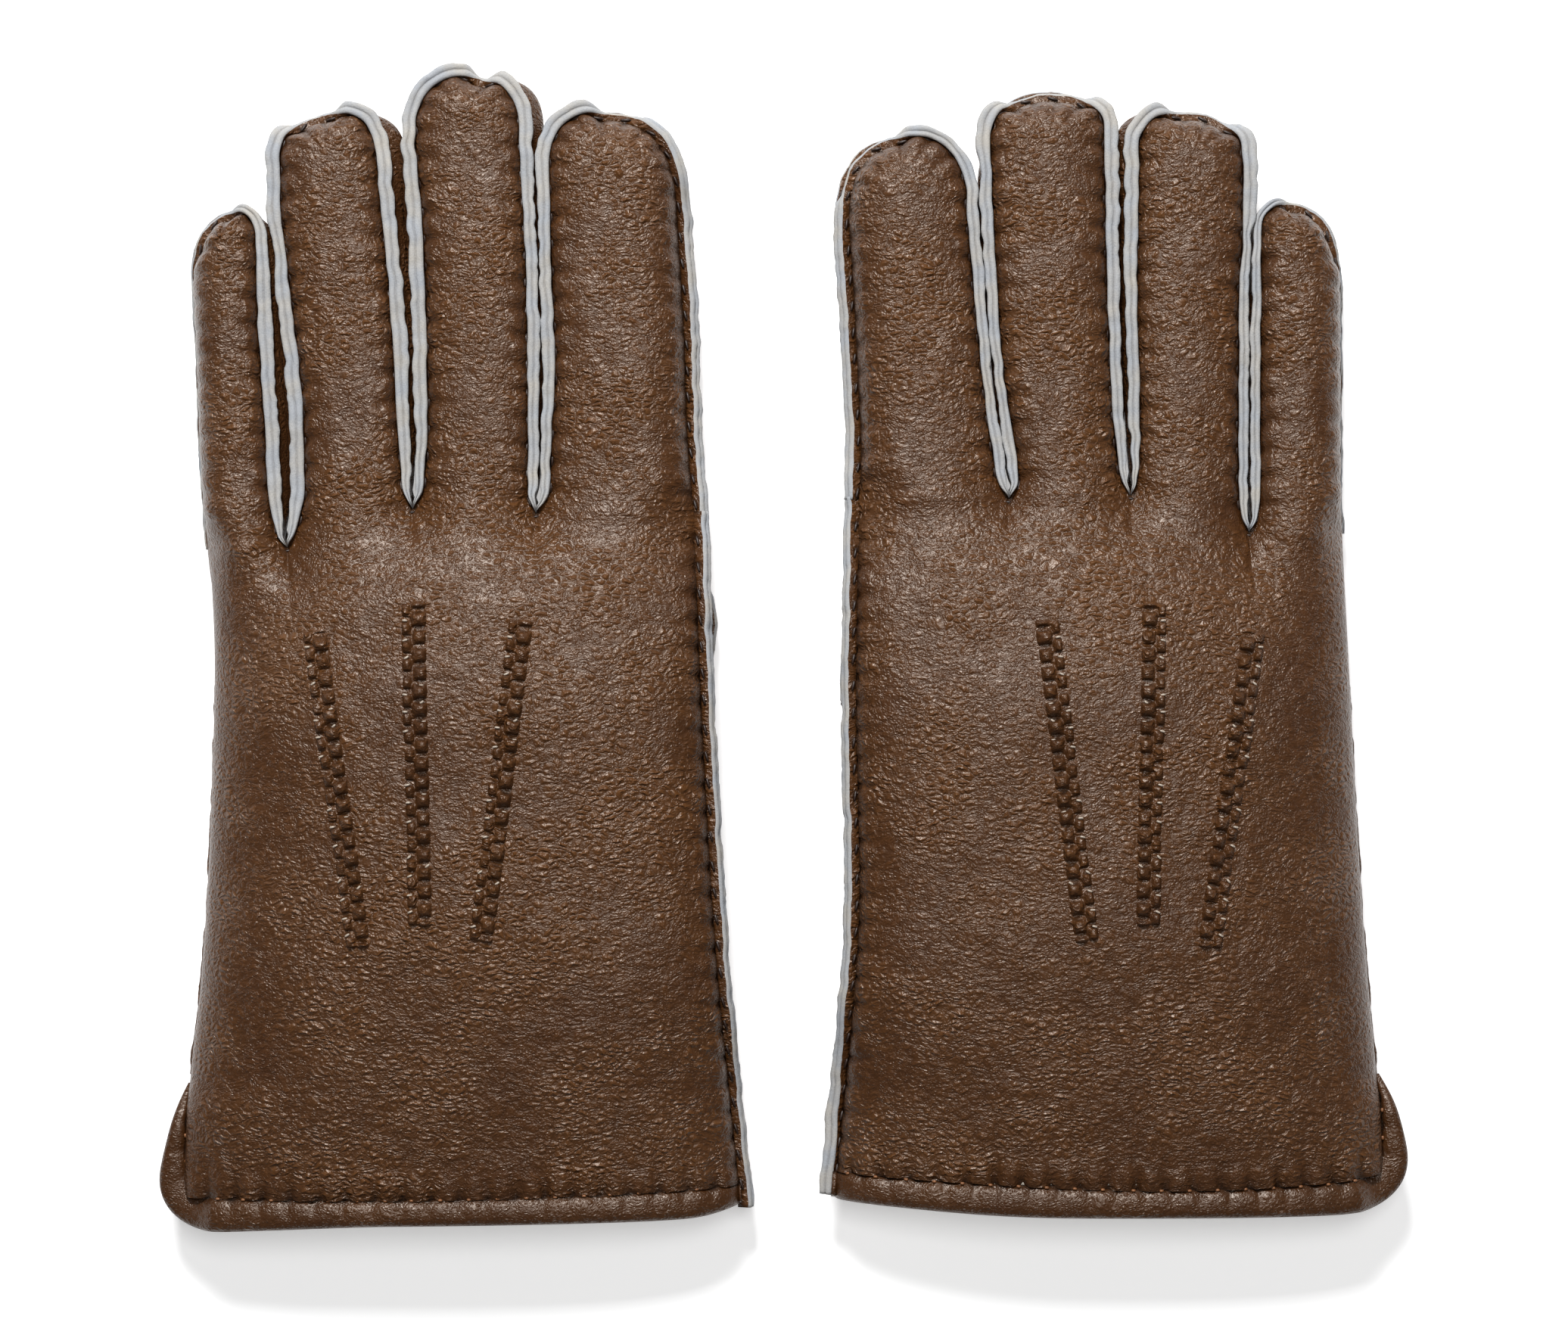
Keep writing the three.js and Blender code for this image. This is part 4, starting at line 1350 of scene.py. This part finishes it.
    def _pillows(self, t: Array, c: Array) -> tuple[Array, Array]:
        """Height of the pillows, as rounded boxes on two staggered columns, and the holes between.

        Args:
            t: Distance along the row.
            c: Distance across it from its middle.

        Returns:
            The pillows' height and the holes' depth, both 0 to about 1.
        """
        raised, sunk = 0.0, 0.0
        chance = np.random.default_rng(51).uniform(-1, 1, (4, 64))
        for column, shift, half, tall in ((-1.75, 0.0, 1.15, 0.75), (1.25, 0.5, 1.65, 1.0)):
            along = t / self.POINT_PITCH + shift
            step = along % 1.0 - 0.5
            size, place, grown, slant = chance[:, (np.floor(along).astype(int) + 7 * (column > 0)) % 64]
            box = self._rounded(step * self.POINT_PITCH / (1.85 + 0.12 * size))
            wide = self._rounded((c - column - 0.22 * place) / (half * (1.08 + 0.14 * grown)))
            leaning = 1 + 0.9 * step * (0.6 + 0.4 * slant) + 0.12 * slant * (c - column)
            raised = np.maximum(raised, tall * (1 + 0.2 * grown) * box * wide * leaning)
            gap = np.exp(-(((np.abs(step) - 0.5) * self.POINT_PITCH / (0.62 + 0.14 * size)) ** 2))
            sunk = np.maximum(sunk, gap * np.exp(-((np.abs(c - column * 1.1) / 1.05) ** 3)))
        return raised, sunk

    @staticmethod
    def _slow(q: Array, y: Array, level: float = 3.0) -> Array:
        """A panel's slow noise, without its seams' gathers; the level picks the back or the palm.

        Args:
            q: Places across.
            y: Places along.
            level: Where the noise is cut.

        Returns:
            Millimetres, as four sizes of noise added up.
        """
        where = np.stack([q, y, np.full(q.shape, level)], -1)
        slow = 0.55 * noise(where, 27.0, 41) + 0.3 * noise(where, 11.0, 42) + 0.18 * noise(where, 4.5, 43)
        return slow + 0.08 * noise(where, 2.2, 44)

    def _build_point_thread(self, name: str, ends: Array, along: Array, side: Array, length: float) -> None:
        """Pale stitches in most holes of one column and a few of the other, which also stand in as painted
        highlights on the pillows.

        Args:
            name: Name of the row.
            ends: Its two ends in plan.
            along: Unit vector along it.
            side: Unit vector across it.
            length: Its length.
        """
        centres, ways = [], []
        chance = np.random.default_rng(52)
        for column, shift, lift, share in ((-2.0, 0.0, 0.75, 0.75), (1.7, 0.5, 0.4, 0.3)):
            at = np.arange(shift * self.POINT_PITCH, length - 1, self.POINT_PITCH)
            at = at[(at > 1) & (chance.uniform(size=len(at)) < share)]
            at = at + chance.uniform(-0.25, 0.25, len(at)) - 0.5
            spot = ends[0] + along * at[:, None] + side * (column + chance.uniform(-0.3, 0.3, (len(at), 1)))
            z = self.back_height(spot[:, 0], spot[:, 1]) + self._slow(spot[:, 0], spot[:, 1]) + lift
            centres.append(np.concatenate([spot, z[:, None]], 1))
            turns = chance.uniform(-0.4, 0.9, (len(at), 1))
            ways.append(np.concatenate([side + turns * along, 0 * turns], 1))
        # pale thread spindles that are also painted highlights (glints) on the pillows' edges
        batch = stitches(np.concatenate(centres), np.concatenate(ways), 1.3, 0.27)
        pale = self.finishes.pale_thread_and_glints
        piece = assemble(f"{self.place.side}_{name}_point_thread", batch, [pale], self.place)
        self.hold.take(piece, "thread")

    def _build_side_seams(self) -> None:
        """The flange down the index finger's side, the tucked one down the little finger's, and stitches."""
        side, two = self.place.side, [self.finishes.leather, self.finishes.edge]
        start = self.fingers[-1].line[-1, 1] + 0.6
        y = np.linspace(start, float(through(self.cut.cuff, 62.0)) - 5.6, 212)
        q = through(self.cut.index_edge, y) - self.SEAM_INSET
        base = np.stack([q, y, through(INDEX_SEAM, y) - 0.35], 1)
        normal = outward(base)
        lean = through(self.cut.lean, y)
        thick = np.full(len(y), FLANGE_THICKNESS)
        patches = [flange(base, normal, lean, thick, np.full(len(y), FLANGE_HEIGHT), 61, (True, True))]
        threads = seam_stitches(base, normal, lean, 0.8, 0.3)
        y = np.linspace(-99.0, self.fingers[0].line[0, 1], 160)
        inset = mix(1.3, 2.4, smooth((y + 12) / 16))
        base = np.stack([through(self.cut.little_edge, y) + inset, y, np.full(len(y), 9.8)], 1)
        normal = outward(base)
        lean = np.full(len(y), Lean.UNDER.value)
        tucked = flange(base, normal, lean, thick[: len(y)] * 0.8, np.full(len(y), FLANGE_HEIGHT), 71)
        patches.append(Patch(tucked.points, tucked.dark, wrap=True))  # all leather: its cut edge is inside
        threads += seam_stitches(base, normal, lean, 1.0, 0.12)
        piece = assemble(f"{side}_side_flanges", patches, two, self.place)
        self.hold.take(piece, "leather")
        threads += self._tacks()
        piece = assemble(f"{side}_side_stitches", threads, [self.finishes.thread], self.place)
        self.hold.take(piece, "thread", f"{side}_side_thread")

    def _tacks(self) -> list[Patch]:
        """A small bar of thread below each gap, where the seams end."""
        spots = np.array([f.line[0] for f in self.fingers[1:]]) - np.array([0.0, 1.0])
        grid, _ = self.panel(Profile.BACK)
        flat = grid.reshape(-1, 3)
        near = [int(np.argmin(np.hypot(flat[:, 0] - s[0], flat[:, 1] - s[1]))) for s in spots]
        centre = flat[near] + np.array([0.0, 0.0, 0.12])
        return stitches(centre, np.tile([1.0, 0.15, 0.0], (len(spots), 1)), 1.7, 0.3)

    def _build_hem(self) -> None:
        """The bound edge: a padded roll along the cuff and up the vent, on the back and on the palm."""
        stations = np.array(self.cut.hem)
        knots = np.concatenate([[0], np.cumsum(np.hypot(*np.diff(stations[:, :2], axis=0).T))])
        run = np.linspace(0, knots[-1], 260)
        q, y, width = (soften(through(tuple(zip(knots, stations[:, k])), run), 5) for k in range(3))
        line = np.stack([q, y], 1)
        normal = outward(line)
        arc = lengths(line)
        threads: list[Patch] = []
        for profile in Profile:
            back = profile is Profile.BACK
            wide = width if back else width * 0.93
            surface = self.back_height(q, y) if back else self.palm_height(q, y)
            vent = smooth((-q - 56) / 6)
            middle = mix(surface - profile.value * 1.25, 14.2 if back else 5.9, vent)
            middle = middle - profile.value * 2.4 * vent * smooth((width - 3.8) / -3.0)
            half = mix(1.9, 1.5, vent) * np.clip(width / 3.5, 0.25, 1)
            turn = np.linspace(0, 2 * np.pi, 18, endpoint=False)
            power = 2 / 2.3
            u = 0.5 - 0.5 * np.sign(np.cos(turn)) * np.abs(np.cos(turn)) ** power
            v = np.sign(np.sin(turn)) * np.abs(np.sin(turn)) ** power
            pull = pinch(arc, HEM_PITCH, 1.2)[:, None]
            seam_side = (1 - u) ** 1.5
            ripple = 0.12 * noise(np.stack(np.broadcast_arrays(arc[:, None] / 1.3, u * 3, 0.0), -1), 1.0, 81)
            lift = v * half[:, None] * (1 - 0.35 * pull * seam_side) + ripple * np.abs(v)
            out = u * wide[:, None] - 0.25 * (1 - pull) * (u < 0.02)
            plan = line[:, None] + normal[:, None] * out[..., None]
            points = np.concatenate([plan, (middle[:, None] + lift)[..., None]], -1)
            # painted shade in the pleats at each hem stitch and along the roll's seam side
            dark = 0.8 * pull * np.exp(-((u[None] / 0.12) ** 2)) + 0.3 * np.exp(-((u[None] / 0.05) ** 2))
            points, dark = capped(points, dark)
            name = f"{self.place.side}_hem_{'back' if back else 'palm'}"
            roll = assemble(f"{name}_roll", [Patch(points, dark, wrap=True)], [self.finishes.bound], self.place)
            self.hold.take(roll, "leather", name)
            foot = np.concatenate([line - normal * 0.1, (middle + profile.value * half * 0.55)[:, None]], 1)
            at = np.arange(HEM_PITCH / 2, arc[-1] - 4, HEM_PITCH)
            pick = np.searchsorted(arc, at)
            way = foot[pick + 1] - foot[pick - 1]
            threads += stitches(foot[pick], way, 1.0, 0.34)
        piece = assemble(f"{self.place.side}_hem_stitches", threads, [self.finishes.hem_thread], self.place)
        self.hold.take(piece, "thread")

    def _build_lining(self) -> None:
        """The fleece sleeve: a curled inner wall between the panels, closed at the fingers' end."""
        y = np.concatenate([np.linspace(-121.0, 8.0, 100), [9.0]])[:, None]
        turn = np.linspace(0, 2 * np.pi, 96, endpoint=False)[None]
        layers = []
        for inset, ruffle in ((1.5, 0.0), (4.2, 0.9)):
            low = through(self.cut.little_edge, y) + inset + 1.5
            high = through(self.cut.index_edge, y) - self.SEAM_INSET - inset - 1.0
            q = (low + high) / 2 + (high - low) / 2 * np.sign(np.cos(turn)) * np.abs(np.cos(turn)) ** 0.75
            yy = np.broadcast_to(y, q.shape)
            at = np.maximum(yy, -119.0)
            top, bottom = self.back_height(q, at) - inset, self.palm_height(q, at) + inset
            middle = (top + bottom) / 2
            upper = np.maximum(top, middle + 0.4)
            lower = np.minimum(bottom, middle - 0.4)
            rise = np.sign(np.sin(turn)) * np.abs(np.sin(turn)) ** 0.6
            z = middle + np.where(rise > 0, (upper - middle) * rise, (middle - lower) * rise)
            curl = noise(np.stack([q, yy, z], -1), 2.6, 91) + 0.6 * noise(np.stack([q, yy, z], -1), 1.3, 92)
            z = z - ruffle * 0.6 * curl * np.sign(rise) * np.abs(rise)
            layers.append(np.stack([q, yy, z], -1))
        outer, inner = layers
        end = np.broadcast_to(inner[-1:].mean(1, keepdims=True), inner[-1:].shape)
        cap = np.broadcast_to(outer[-1:].mean(1, keepdims=True), outer[-1:].shape)
        points = np.concatenate([end, inner[::-1], outer, cap])
        piece = assemble(f"{self.place.side}_lining", [Patch(points, wrap=True)], [self.finishes.wool], self.place)
        self.hold.take(piece, "fleece", f"{self.place.side}_hand_fleece")


# ---- Thumb ------------------------------------------------------------------------------------------
class Thumb:
    """The thumb, folded flat under the palm: an upper and a lower skin with a seam round its edge."""

    RINGS = 20
    FOLD = ((39.0, -82.0), (61.0, -15.0))  # q, y of the line that it swings about
    FOLD_RISE = 10.0  # past the fold, to the thumb's full thickness
    TIP = (40.5, 20.6)  # q, y
    SPINE_END = 5.0  # y
    SEAM_LEAN = 92.0  # degrees from upright

    def __init__(self, place: Place, edge: float, finishes: Finishes) -> None:
        """Traces the thumb's outline from the fold up one side, round its tip and down the other."""
        self.place, self.finishes = place, finishes
        self.low: Stations = ((-82.0, 39.0), (-72.0, 34.0), (-50.0, 30.6), (-10.0, 26.6), (4.0, 25.6))
        self.high: Stations = ((-17.0, edge), (-8.0, edge - 0.6), (6.0, 56.0))
        sides = [self._side(self.low, 17.0), self._side(self.high, 15.0)[::-1]]
        self.line = resample(np.concatenate([sides[0], sides[1][1:]]), STEP)
        self.normal, self.arc = outward(self.line), lengths(self.line)
        y = self.line[:, 1]
        on_low = np.arange(len(y)) < np.argmax(y)
        begun = np.where(on_low, y[0], y[-1])
        rise = np.clip((y - begun) / (self.SPINE_END - begun), 0, 1)
        base = (self.line[0] + self.line[-1]) / 2
        spine_y = mix(base[1], self.SPINE_END, rise)
        spine_q = mix(base[0], self.TIP[0], smooth(rise * 1.2))
        self.spine = np.stack([spine_q, spine_y], 1)

    def _side(self, edge: Stations, rounding: float) -> Array:
        """One side of the outline: up its edge, then a quarter of a superellipse to the tip.

        Args:
            edge: Stations of the edge, [y, q].
            rounding: Length of the rounding before the tip.

        Returns:
            Points in plan, from the root up.
        """
        tip = self.TIP
        shoulder = tip[1] - rounding
        y = np.linspace(edge[0][0], shoulder, 100)
        angle = np.linspace(0, np.pi / 2, 50)[1:]
        full = float(through(edge, shoulder))
        q = tip[0] + (full - tip[0]) * np.cos(angle) ** 0.9
        over = shoulder + rounding * np.sin(angle) ** 0.9
        return np.concatenate([np.stack([through(edge, y), y], 1), np.stack([q, over], 1)])

    def fullness(self, plan: Array) -> Array:
        """Share of the thumb's thickness at a place: a quarter round that rises past the fold.

        Args:
            plan: Places in plan.

        Returns:
            The share, 0.02 at the fold and 1 beyond it.
        """
        low, high = np.array(self.FOLD)
        along = (high - low) / np.linalg.norm(high - low)
        past = (plan[..., 0] - low[0]) * -along[1] + (plan[..., 1] - low[1]) * along[0]
        return np.sqrt(1 - (1 - np.clip(past / self.FOLD_RISE, 0, 1)) ** 2) * 0.98 + 0.02

    def skin(self, sign: int) -> tuple[Array, Array]:
        """The upper or lower skin, as rings from the seam in to the spine.

        Args:
            sign: 1 for the upper skin, -1 for the lower.

        Returns:
            The grid, a superellipse in section, and the share of dark at each point.
        """
        step = 1 - np.cos(np.pi / 2 * np.arange(self.RINGS + 1) / self.RINGS)
        plan = self.line[:, None] + (self.spine - self.line)[:, None] * step[None, :, None]
        depth = np.linalg.norm(self.spine - self.line, axis=1)[:, None] * step
        bow = (1 - (1 - step) ** 2.3) ** (1 / 2.3)
        full = self.fullness(plan)
        half = THUMB_HIGH / 2
        middle = mix(THUMB_HIGH - 0.3, half, full)
        sink, dark = gathers(np.broadcast_to(self.arc[:, None], depth.shape), depth)
        where = np.concatenate([plan, np.full((*depth.shape, 1), 9.0 * sign)], -1)
        slow = 0.3 * noise(where, 9.0, 95) + 0.12 * noise(where, 3.5, 96) - 0.3
        z = middle + sign * ((half - 0.3) * bow * full + (slow * bow - 0.5 * sink) * full)
        return np.concatenate([plan, z[..., None]], -1), dark * full

    def hold(self) -> Hold:
        """The hand and the thumb as two bodies, with the ends of the stretch across the fold."""
        low, high = np.array(self.FOLD)
        along = (high - low) / np.linalg.norm(high - low)
        inward = np.array([-along[1], along[0]])
        middle = (low + high) / 2
        start, end = (self.place.world(np.array([*(middle + inward * d), 13.9])) for d in (-3.0, 8.0))
        return Hold(f"{self.place.side}_hand", f"{self.place.side}_thumb", Vector(start), Vector(end))

    def build(self) -> None:
        """Builds and dresses the thumb's skins, its flange, its stitches and its fleece."""
        side, hold = self.place.side, self.hold()
        for sign, node in ((1, "inside"), (-1, "outside")):
            grid, dark = self.skin(sign)
            name, up = f"{side}_thumb_{node}", Vector((0, 0, sign))
            skin = assemble(f"{name}_skin", [Patch(grid, dark)], [self.finishes.leather], self.place, up)
            hold.take(skin, "leather", name)
        keep = slice(6, len(self.line) - 5)
        line, normal = self.line[keep], self.normal[keep]
        full = self.fullness(line)
        middle = mix(THUMB_HIGH - 0.3, THUMB_HIGH / 2, full)
        base = np.concatenate([line - normal * 0.5, (middle + 1.0)[:, None]], 1)
        lean = np.full(len(line), self.SEAM_LEAN)
        edge = flange(base, normal, lean, 2.6 * full, 2.2 * full, 97)
        piece = assemble(f"{side}_thumb_flange", [edge], [self.finishes.leather, self.finishes.edge], self.place)
        hold.take(piece, "leather")
        threads = seam_stitches(base, normal, lean, 0.9, 0.1)
        piece = assemble(f"{side}_thumb_stitches", threads, [self.finishes.thread], self.place)
        hold.take(piece, "thread")
        t = np.linspace(0, 1, 22)[:, None]
        turn = np.linspace(0, 2 * np.pi, 24, endpoint=False)
        y = mix(-24.0, 13.0, t)
        tip = np.sqrt(np.clip(1 - np.clip((t - 0.75) / 0.25, 0, 1) ** 2.2, 0, 1))
        shrink = tip * np.sqrt(np.clip(t * 12, 0, 1))
        q = mix(42.0, 41.0, t) + 9.0 * shrink * np.cos(turn)
        z = THUMB_HIGH / 2 + 3.6 * shrink * np.sin(turn)
        wool = np.stack([q, np.broadcast_to(y, q.shape), z], -1)
        piece = assemble(f"{side}_thumb_lining", [Patch(wool, wrap=True)], [self.finishes.wool], self.place)
        hold.take(piece, "fleece", f"{side}_thumb_fleece")


# ---- Gloves -----------------------------------------------------------------------------------------
LEFT_FINGERS = (
    FingerCut(
        "little", ((23.0, -58.9), (41.0, -60.3), (62.0, -61.1), (86.0, -62.2)),
        ((23.1, -39.7), (25.5, -41.8), (36.0, -44.0), (52.0, -45.0), (78.0, -46.6), (94.0, -46.9)),
        (-52.5, 100.0), 14.0, 8.0, 36.0, (-1.0, 0.38), (Lean.UNDER, Lean.UPRIGHT), (1.2, 1.0), 0.8, ("thumbward",),
    ),
    FingerCut(
        "ring", ((23.1, -39.7), (28.0, -37.4), (36.0, -35.9), (52.0, -36.2), (78.0, -38.8), (100.0, -41.5)),
        ((31.9, -11.3), (36.0, -13.4), (52.0, -14.7), (78.0, -16.3), (98.0, -18.2), (112.0, -19.6)),
        (-29.5, 122.6), 11.0, 11.0, 44.0, (-0.78, 0.22), slits=(1.0, 1.0), bulge=2.4, nodes=("outward", "thumbward"),
    ),
    FingerCut(
        "middle", ((31.9, -11.3), (36.0, -8.9), (52.0, -7.9), (78.0, -8.3), (98.0, -9.2), (114.0, -10.7)),
        ((30.9, 16.8), (36.0, 15.0), (52.0, 15.0), (78.0, 14.7), (98.0, 14.0), (116.0, 13.0)),
        (1.5, 130.8), 12.5, 12.5, 44.0, (0.05, 0.45), slits=(1.0, 0.3), bulge=1.4, nodes=("outward", "thumbward"),
    ),
    FingerCut(
        "index", ((30.9, 16.8), (36.0, 19.8), (52.0, 20.4), (62.0, 21.1), (83.0, 20.4), (108.0, 19.7)),
        ((30.9, 54.6), (52.0, 52.9), (72.0, 52.3), (100.0, 50.6)),
        (32.7, 122.8), 12.0, 23.0, 44.0, (-0.3, 0.35), (Lean.UPRIGHT, Lean.OUTWARD), (0.3, 1.2), 0.0, ("outward",),
    ),
)  # fmt: skip
RIGHT_FINGERS = (
    FingerCut(
        "little", ((26.6, -54.8), (36.0, -54.4), (84.0, -54.2)),
        ((26.6, -32.6), (29.0, -33.9), (36.0, -34.9), (52.0, -35.2), (94.0, -35.3)),
        (-42.0, 102.0), 17.0, 8.0, 38.0, (-1.0, 0.42), (Lean.UNDER, Lean.UPRIGHT), (1.2, 0.4), 0.0, ("thumbward",),
    ),
    FingerCut(
        "ring", ((26.6, -32.6), (30.0, -30.9), (36.0, -30.2), (78.0, -30.3), (98.0, -31.3), (110.0, -31.2)),
        ((35.0, -5.7), (38.0, -7.0), (52.0, -7.8), (78.0, -7.1), (98.0, -7.3), (112.0, -7.6)),
        (-18.5, 123.0), 11.5, 9.0, 46.0, (-0.8, 0.41), slits=(0.4, 1.1), bulge=1.6, nodes=("outward", "thumbward"),
    ),
    FingerCut(
        "middle", ((35.0, -5.7), (38.0, -3.6), (46.0, -2.3), (62.0, -1.2), (88.0, -0.2), (115.0, 0.3)),
        ((34.2, 22.1), (38.0, 20.0), (52.0, 21.6), (62.0, 23.2), (88.0, 25.1), (114.0, 26.3)),
        (12.5, 127.3), 9.5, 12.5, 46.0, (-0.72, 0.7), slits=(1.1, 0.3), nodes=("outward", "thumbward"),
    ),
    FingerCut(
        "index", ((34.2, 22.1), (38.0, 24.4), (46.0, 25.9), (62.0, 28.0), (88.0, 30.6), (100.0, 31.6)),
        ((34.2, 58.0), (46.0, 57.6), (62.0, 58.3), (82.0, 59.3), (98.0, 60.4)),
        (45.5, 117.2), 15.0, 17.5, 46.0, (0.1, 1.0), (Lean.UPRIGHT, Lean.OUTWARD), (0.3, 1.2), 0.0, ("outward",),
    ),
)  # fmt: skip
LEFT_HAND = HandCut(
    little_edge=((-126.0, -63.9), (-97.0, -62.5), (-77.0, -60.3), (-45.0, -58.2), (-4.0, -57.1), (20.0, -58.3),
                 (24.0, -59.0)),
    index_edge=((-126.0, 65.1), (-108.0, 63.3), (-66.0, 59.4), (-25.0, 56.9), (6.5, 55.5), (31.0, 54.6)),
    cuff=((-64.0, -124.7), (-14.0, -124.6), (52.0, -122.6), (64.0, -122.0)),
    hem=((64.6, -122.0, 4.2), (52.0, -122.6, 6.6), (20.0, -123.8, 6.2), (-14.0, -124.6, 5.9),
         (-45.0, -124.7, 7.0), (-58.5, -124.7, 7.7), (-62.3, -123.3, 7.6), (-63.3, -118.5, 6.0),
         (-63.4, -110.0, 3.8), (-62.9, -103.0, 2.0), (-61.8, -98.0, 0.6)),
    lean=((-126.0, 72.0), (-90.0, 77.0), (-20.0, 73.0), (31.0, 62.0)),
    thumb_edge=55.0,
)  # fmt: skip
RIGHT_HAND = HandCut(
    little_edge=((-126.0, -63.9), (-97.0, -62.3), (-77.0, -60.5), (-45.0, -58.2), (-4.0, -56.1), (20.0, -55.0),
                 (27.0, -54.8)),
    index_edge=((-126.0, 63.8), (-108.0, 61.9), (-87.0, 59.9), (-55.0, 58.0), (-10.0, 58.8), (34.0, 58.0)),
    cuff=((-64.0, -119.0), (-52.0, -120.8), (-13.0, -122.3), (59.0, -119.2), (64.0, -119.0)),
    hem=((63.4, -119.0, 6.2), (52.0, -119.7, 6.4), (20.0, -121.3, 7.0), (-13.0, -122.3, 6.3),
         (-45.0, -121.5, 6.9), (-58.5, -120.3, 7.4), (-62.4, -118.4, 7.3), (-63.4, -114.0, 5.8),
         (-63.4, -106.0, 3.8), (-62.8, -100.5, 2.0), (-61.6, -96.0, 0.6)),
    lean=((-126.0, 14.0), (-108.0, 34.0), (-85.0, 64.0), (34.0, 68.0)),
    thumb_edge=59.6,
)  # fmt: skip


class Glove:
    """One glove: four fingers, the hand and the thumb."""

    HEM_FRONT = -132.1  # y of the hem solid's front face in the glove's own frame
    OFF_CENTRE = 73.2  # from the middle of the pair to the middle of a glove

    def __init__(self, side: str, fingers: tuple[FingerCut, ...], hand: HandCut, finishes: Finishes) -> None:
        """Places the glove by its CAD hem and works out its fingers in order."""
        to_thumb = 1 if side == "left" else -1
        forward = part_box(f"{side}_hem_back")[0].y / MM - self.HEM_FRONT
        self.place = Place(side, -to_thumb * self.OFF_CENTRE, forward, to_thumb)
        self.fingers = []
        for i, cut in enumerate(fingers):
            before = self._gap(fingers[i - 1].high, cut.low, fingers[i - 1].tip[1]) if i else self._open
            beyond = self._open
            if i < len(fingers) - 1:
                beyond = self._gap(cut.high, fingers[i + 1].low, fingers[i + 1].tip[1])
            self.fingers.append(Finger(cut, self.place, (before, beyond), finishes))
        self.hand = Hand(hand, self.place, self.fingers, finishes)
        self.thumb = Thumb(self.place, hand.thumb_edge, finishes)

    @staticmethod
    def _open(y: Array) -> Array:
        """Room on a side with no neighbour."""
        return np.full(np.shape(y), OPEN_GAP)

    @staticmethod
    def _gap(near: Stations, far: Stations, tip: float) -> Callable[[Array], Array]:
        """Width of the gap between two edges, as a function of y, open past the neighbour's tip."""
        return lambda y: np.where(y > tip - 5, OPEN_GAP, through(far, y) - through(near, y))

    def build(self) -> None:
        """Builds every piece of the glove."""
        self.hand.build()

        def behind(profile: Profile) -> Callable[[Array, Array], Array]:
            """The hand's height just behind a finger's root row, as a function of the row and its heights."""
            return lambda row, root: self.hand.blended(profile, row[:, 0], row[:, 1], root, np.full(len(row), TUCK))

        for finger in self.fingers:
            finger.build(behind(Profile.BACK), behind(Profile.PALM))
        self.thumb.build()


# ---- Studio -----------------------------------------------------------------------------------------
class Studio:
    """A white table, soft light from above and a camera that looks straight down."""

    LENS = 85.0
    SENSOR = 36.0
    VIEW_WIDTH = 0.3587  # metres across the picture, at the height that the camera aims at
    AIM = (0.0, -0.00528, 0.012)
    TABLE_HALF = 3.0
    TABLE_DROP = 0.0006  # below the gloves, so that the two faces don't meet
    TABLE_GLOW = 0.44  # keeps the white table bright round the gloves
    AMBIENT = 0.12

    def build(self) -> None:
        """Builds the table, the lights, the world and the camera."""
        half, z = self.TABLE_HALF, -self.TABLE_DROP
        mesh = bpy.data.meshes.new("table")
        corners = [(-half, -half, z), (half, -half, z), (half, half, z), (-half, half, z)]
        mesh.from_pydata(corners, [], [(0, 1, 2, 3)])
        floor = bpy.data.objects.new("table", mesh)
        bpy.context.scene.collection.objects.link(floor)
        white = Nodes("table_white")
        white.shader.inputs["Base Color"].default_value = (0.93, 0.93, 0.93, 1)
        white.surface(0.9)
        white.shader.inputs["Emission Color"].default_value = (1, 1, 1, 1)
        white.shader.inputs["Emission Strength"].default_value = self.TABLE_GLOW
        mesh.materials.append(white.material)
        self._light("key", (-0.15, 0.85, 0.9), 0.28, 19.0)
        self._light("fill", (0.1, 0.25, 1.3), 0.4, 5.6)
        world = bpy.data.worlds.new("studio")
        world.use_nodes = True
        world.node_tree.nodes["Background"].inputs[0].default_value = (1, 1, 1, 1)
        world.node_tree.nodes["Background"].inputs[1].default_value = self.AMBIENT
        bpy.context.scene.world = world
        bpy.context.scene.view_settings.view_transform = "Standard"
        data = bpy.data.cameras.new("camera")
        data.lens, data.sensor_width = self.LENS, self.SENSOR
        camera = bpy.data.objects.new("camera", data)
        bpy.context.scene.collection.objects.link(camera)
        x, y, z = self.AIM
        camera.location = (x, y, z + self.VIEW_WIDTH * self.LENS / self.SENSOR)
        bpy.context.scene.camera = camera

    @staticmethod
    def _light(name: str, at: Triple, size: float, power: float) -> None:
        """A square soft box at a place, aimed at the gloves.

        Args:
            name: Name of the lamp.
            at: Its place in metres.
            size: Its side.
            power: Its power in watts.
        """
        data = bpy.data.lights.new(name, "AREA")
        data.size, data.energy = size, power
        lamp = bpy.data.objects.new(name, data)
        bpy.context.scene.collection.objects.link(lamp)
        lamp.location = at
        lamp.rotation_euler = (-Vector(at)).to_track_quat("-Z", "Y").to_euler()


def main() -> None:
    logging.basicConfig(level=logging.INFO)
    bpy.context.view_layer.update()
    Studio().build()
    finishes = Finishes(
        Leather().make(), CutEdge().make(), Leather("leather_bound", relief=0.35).make(), Wool().make(),
        Thread("thread_dark", linear(44, 26, 16)).make(), Thread("thread_pale", linear(186, 172, 156)).make(),
        Thread("thread_tan", linear(140, 92, 56)).make(),
    )  # fmt: skip
    for side, fingers, hand in (("left", LEFT_FINGERS, LEFT_HAND), ("right", RIGHT_FINGERS, RIGHT_HAND)):
        Glove(side, fingers, hand, finishes).build()


if __name__ == "__main__":
    main()
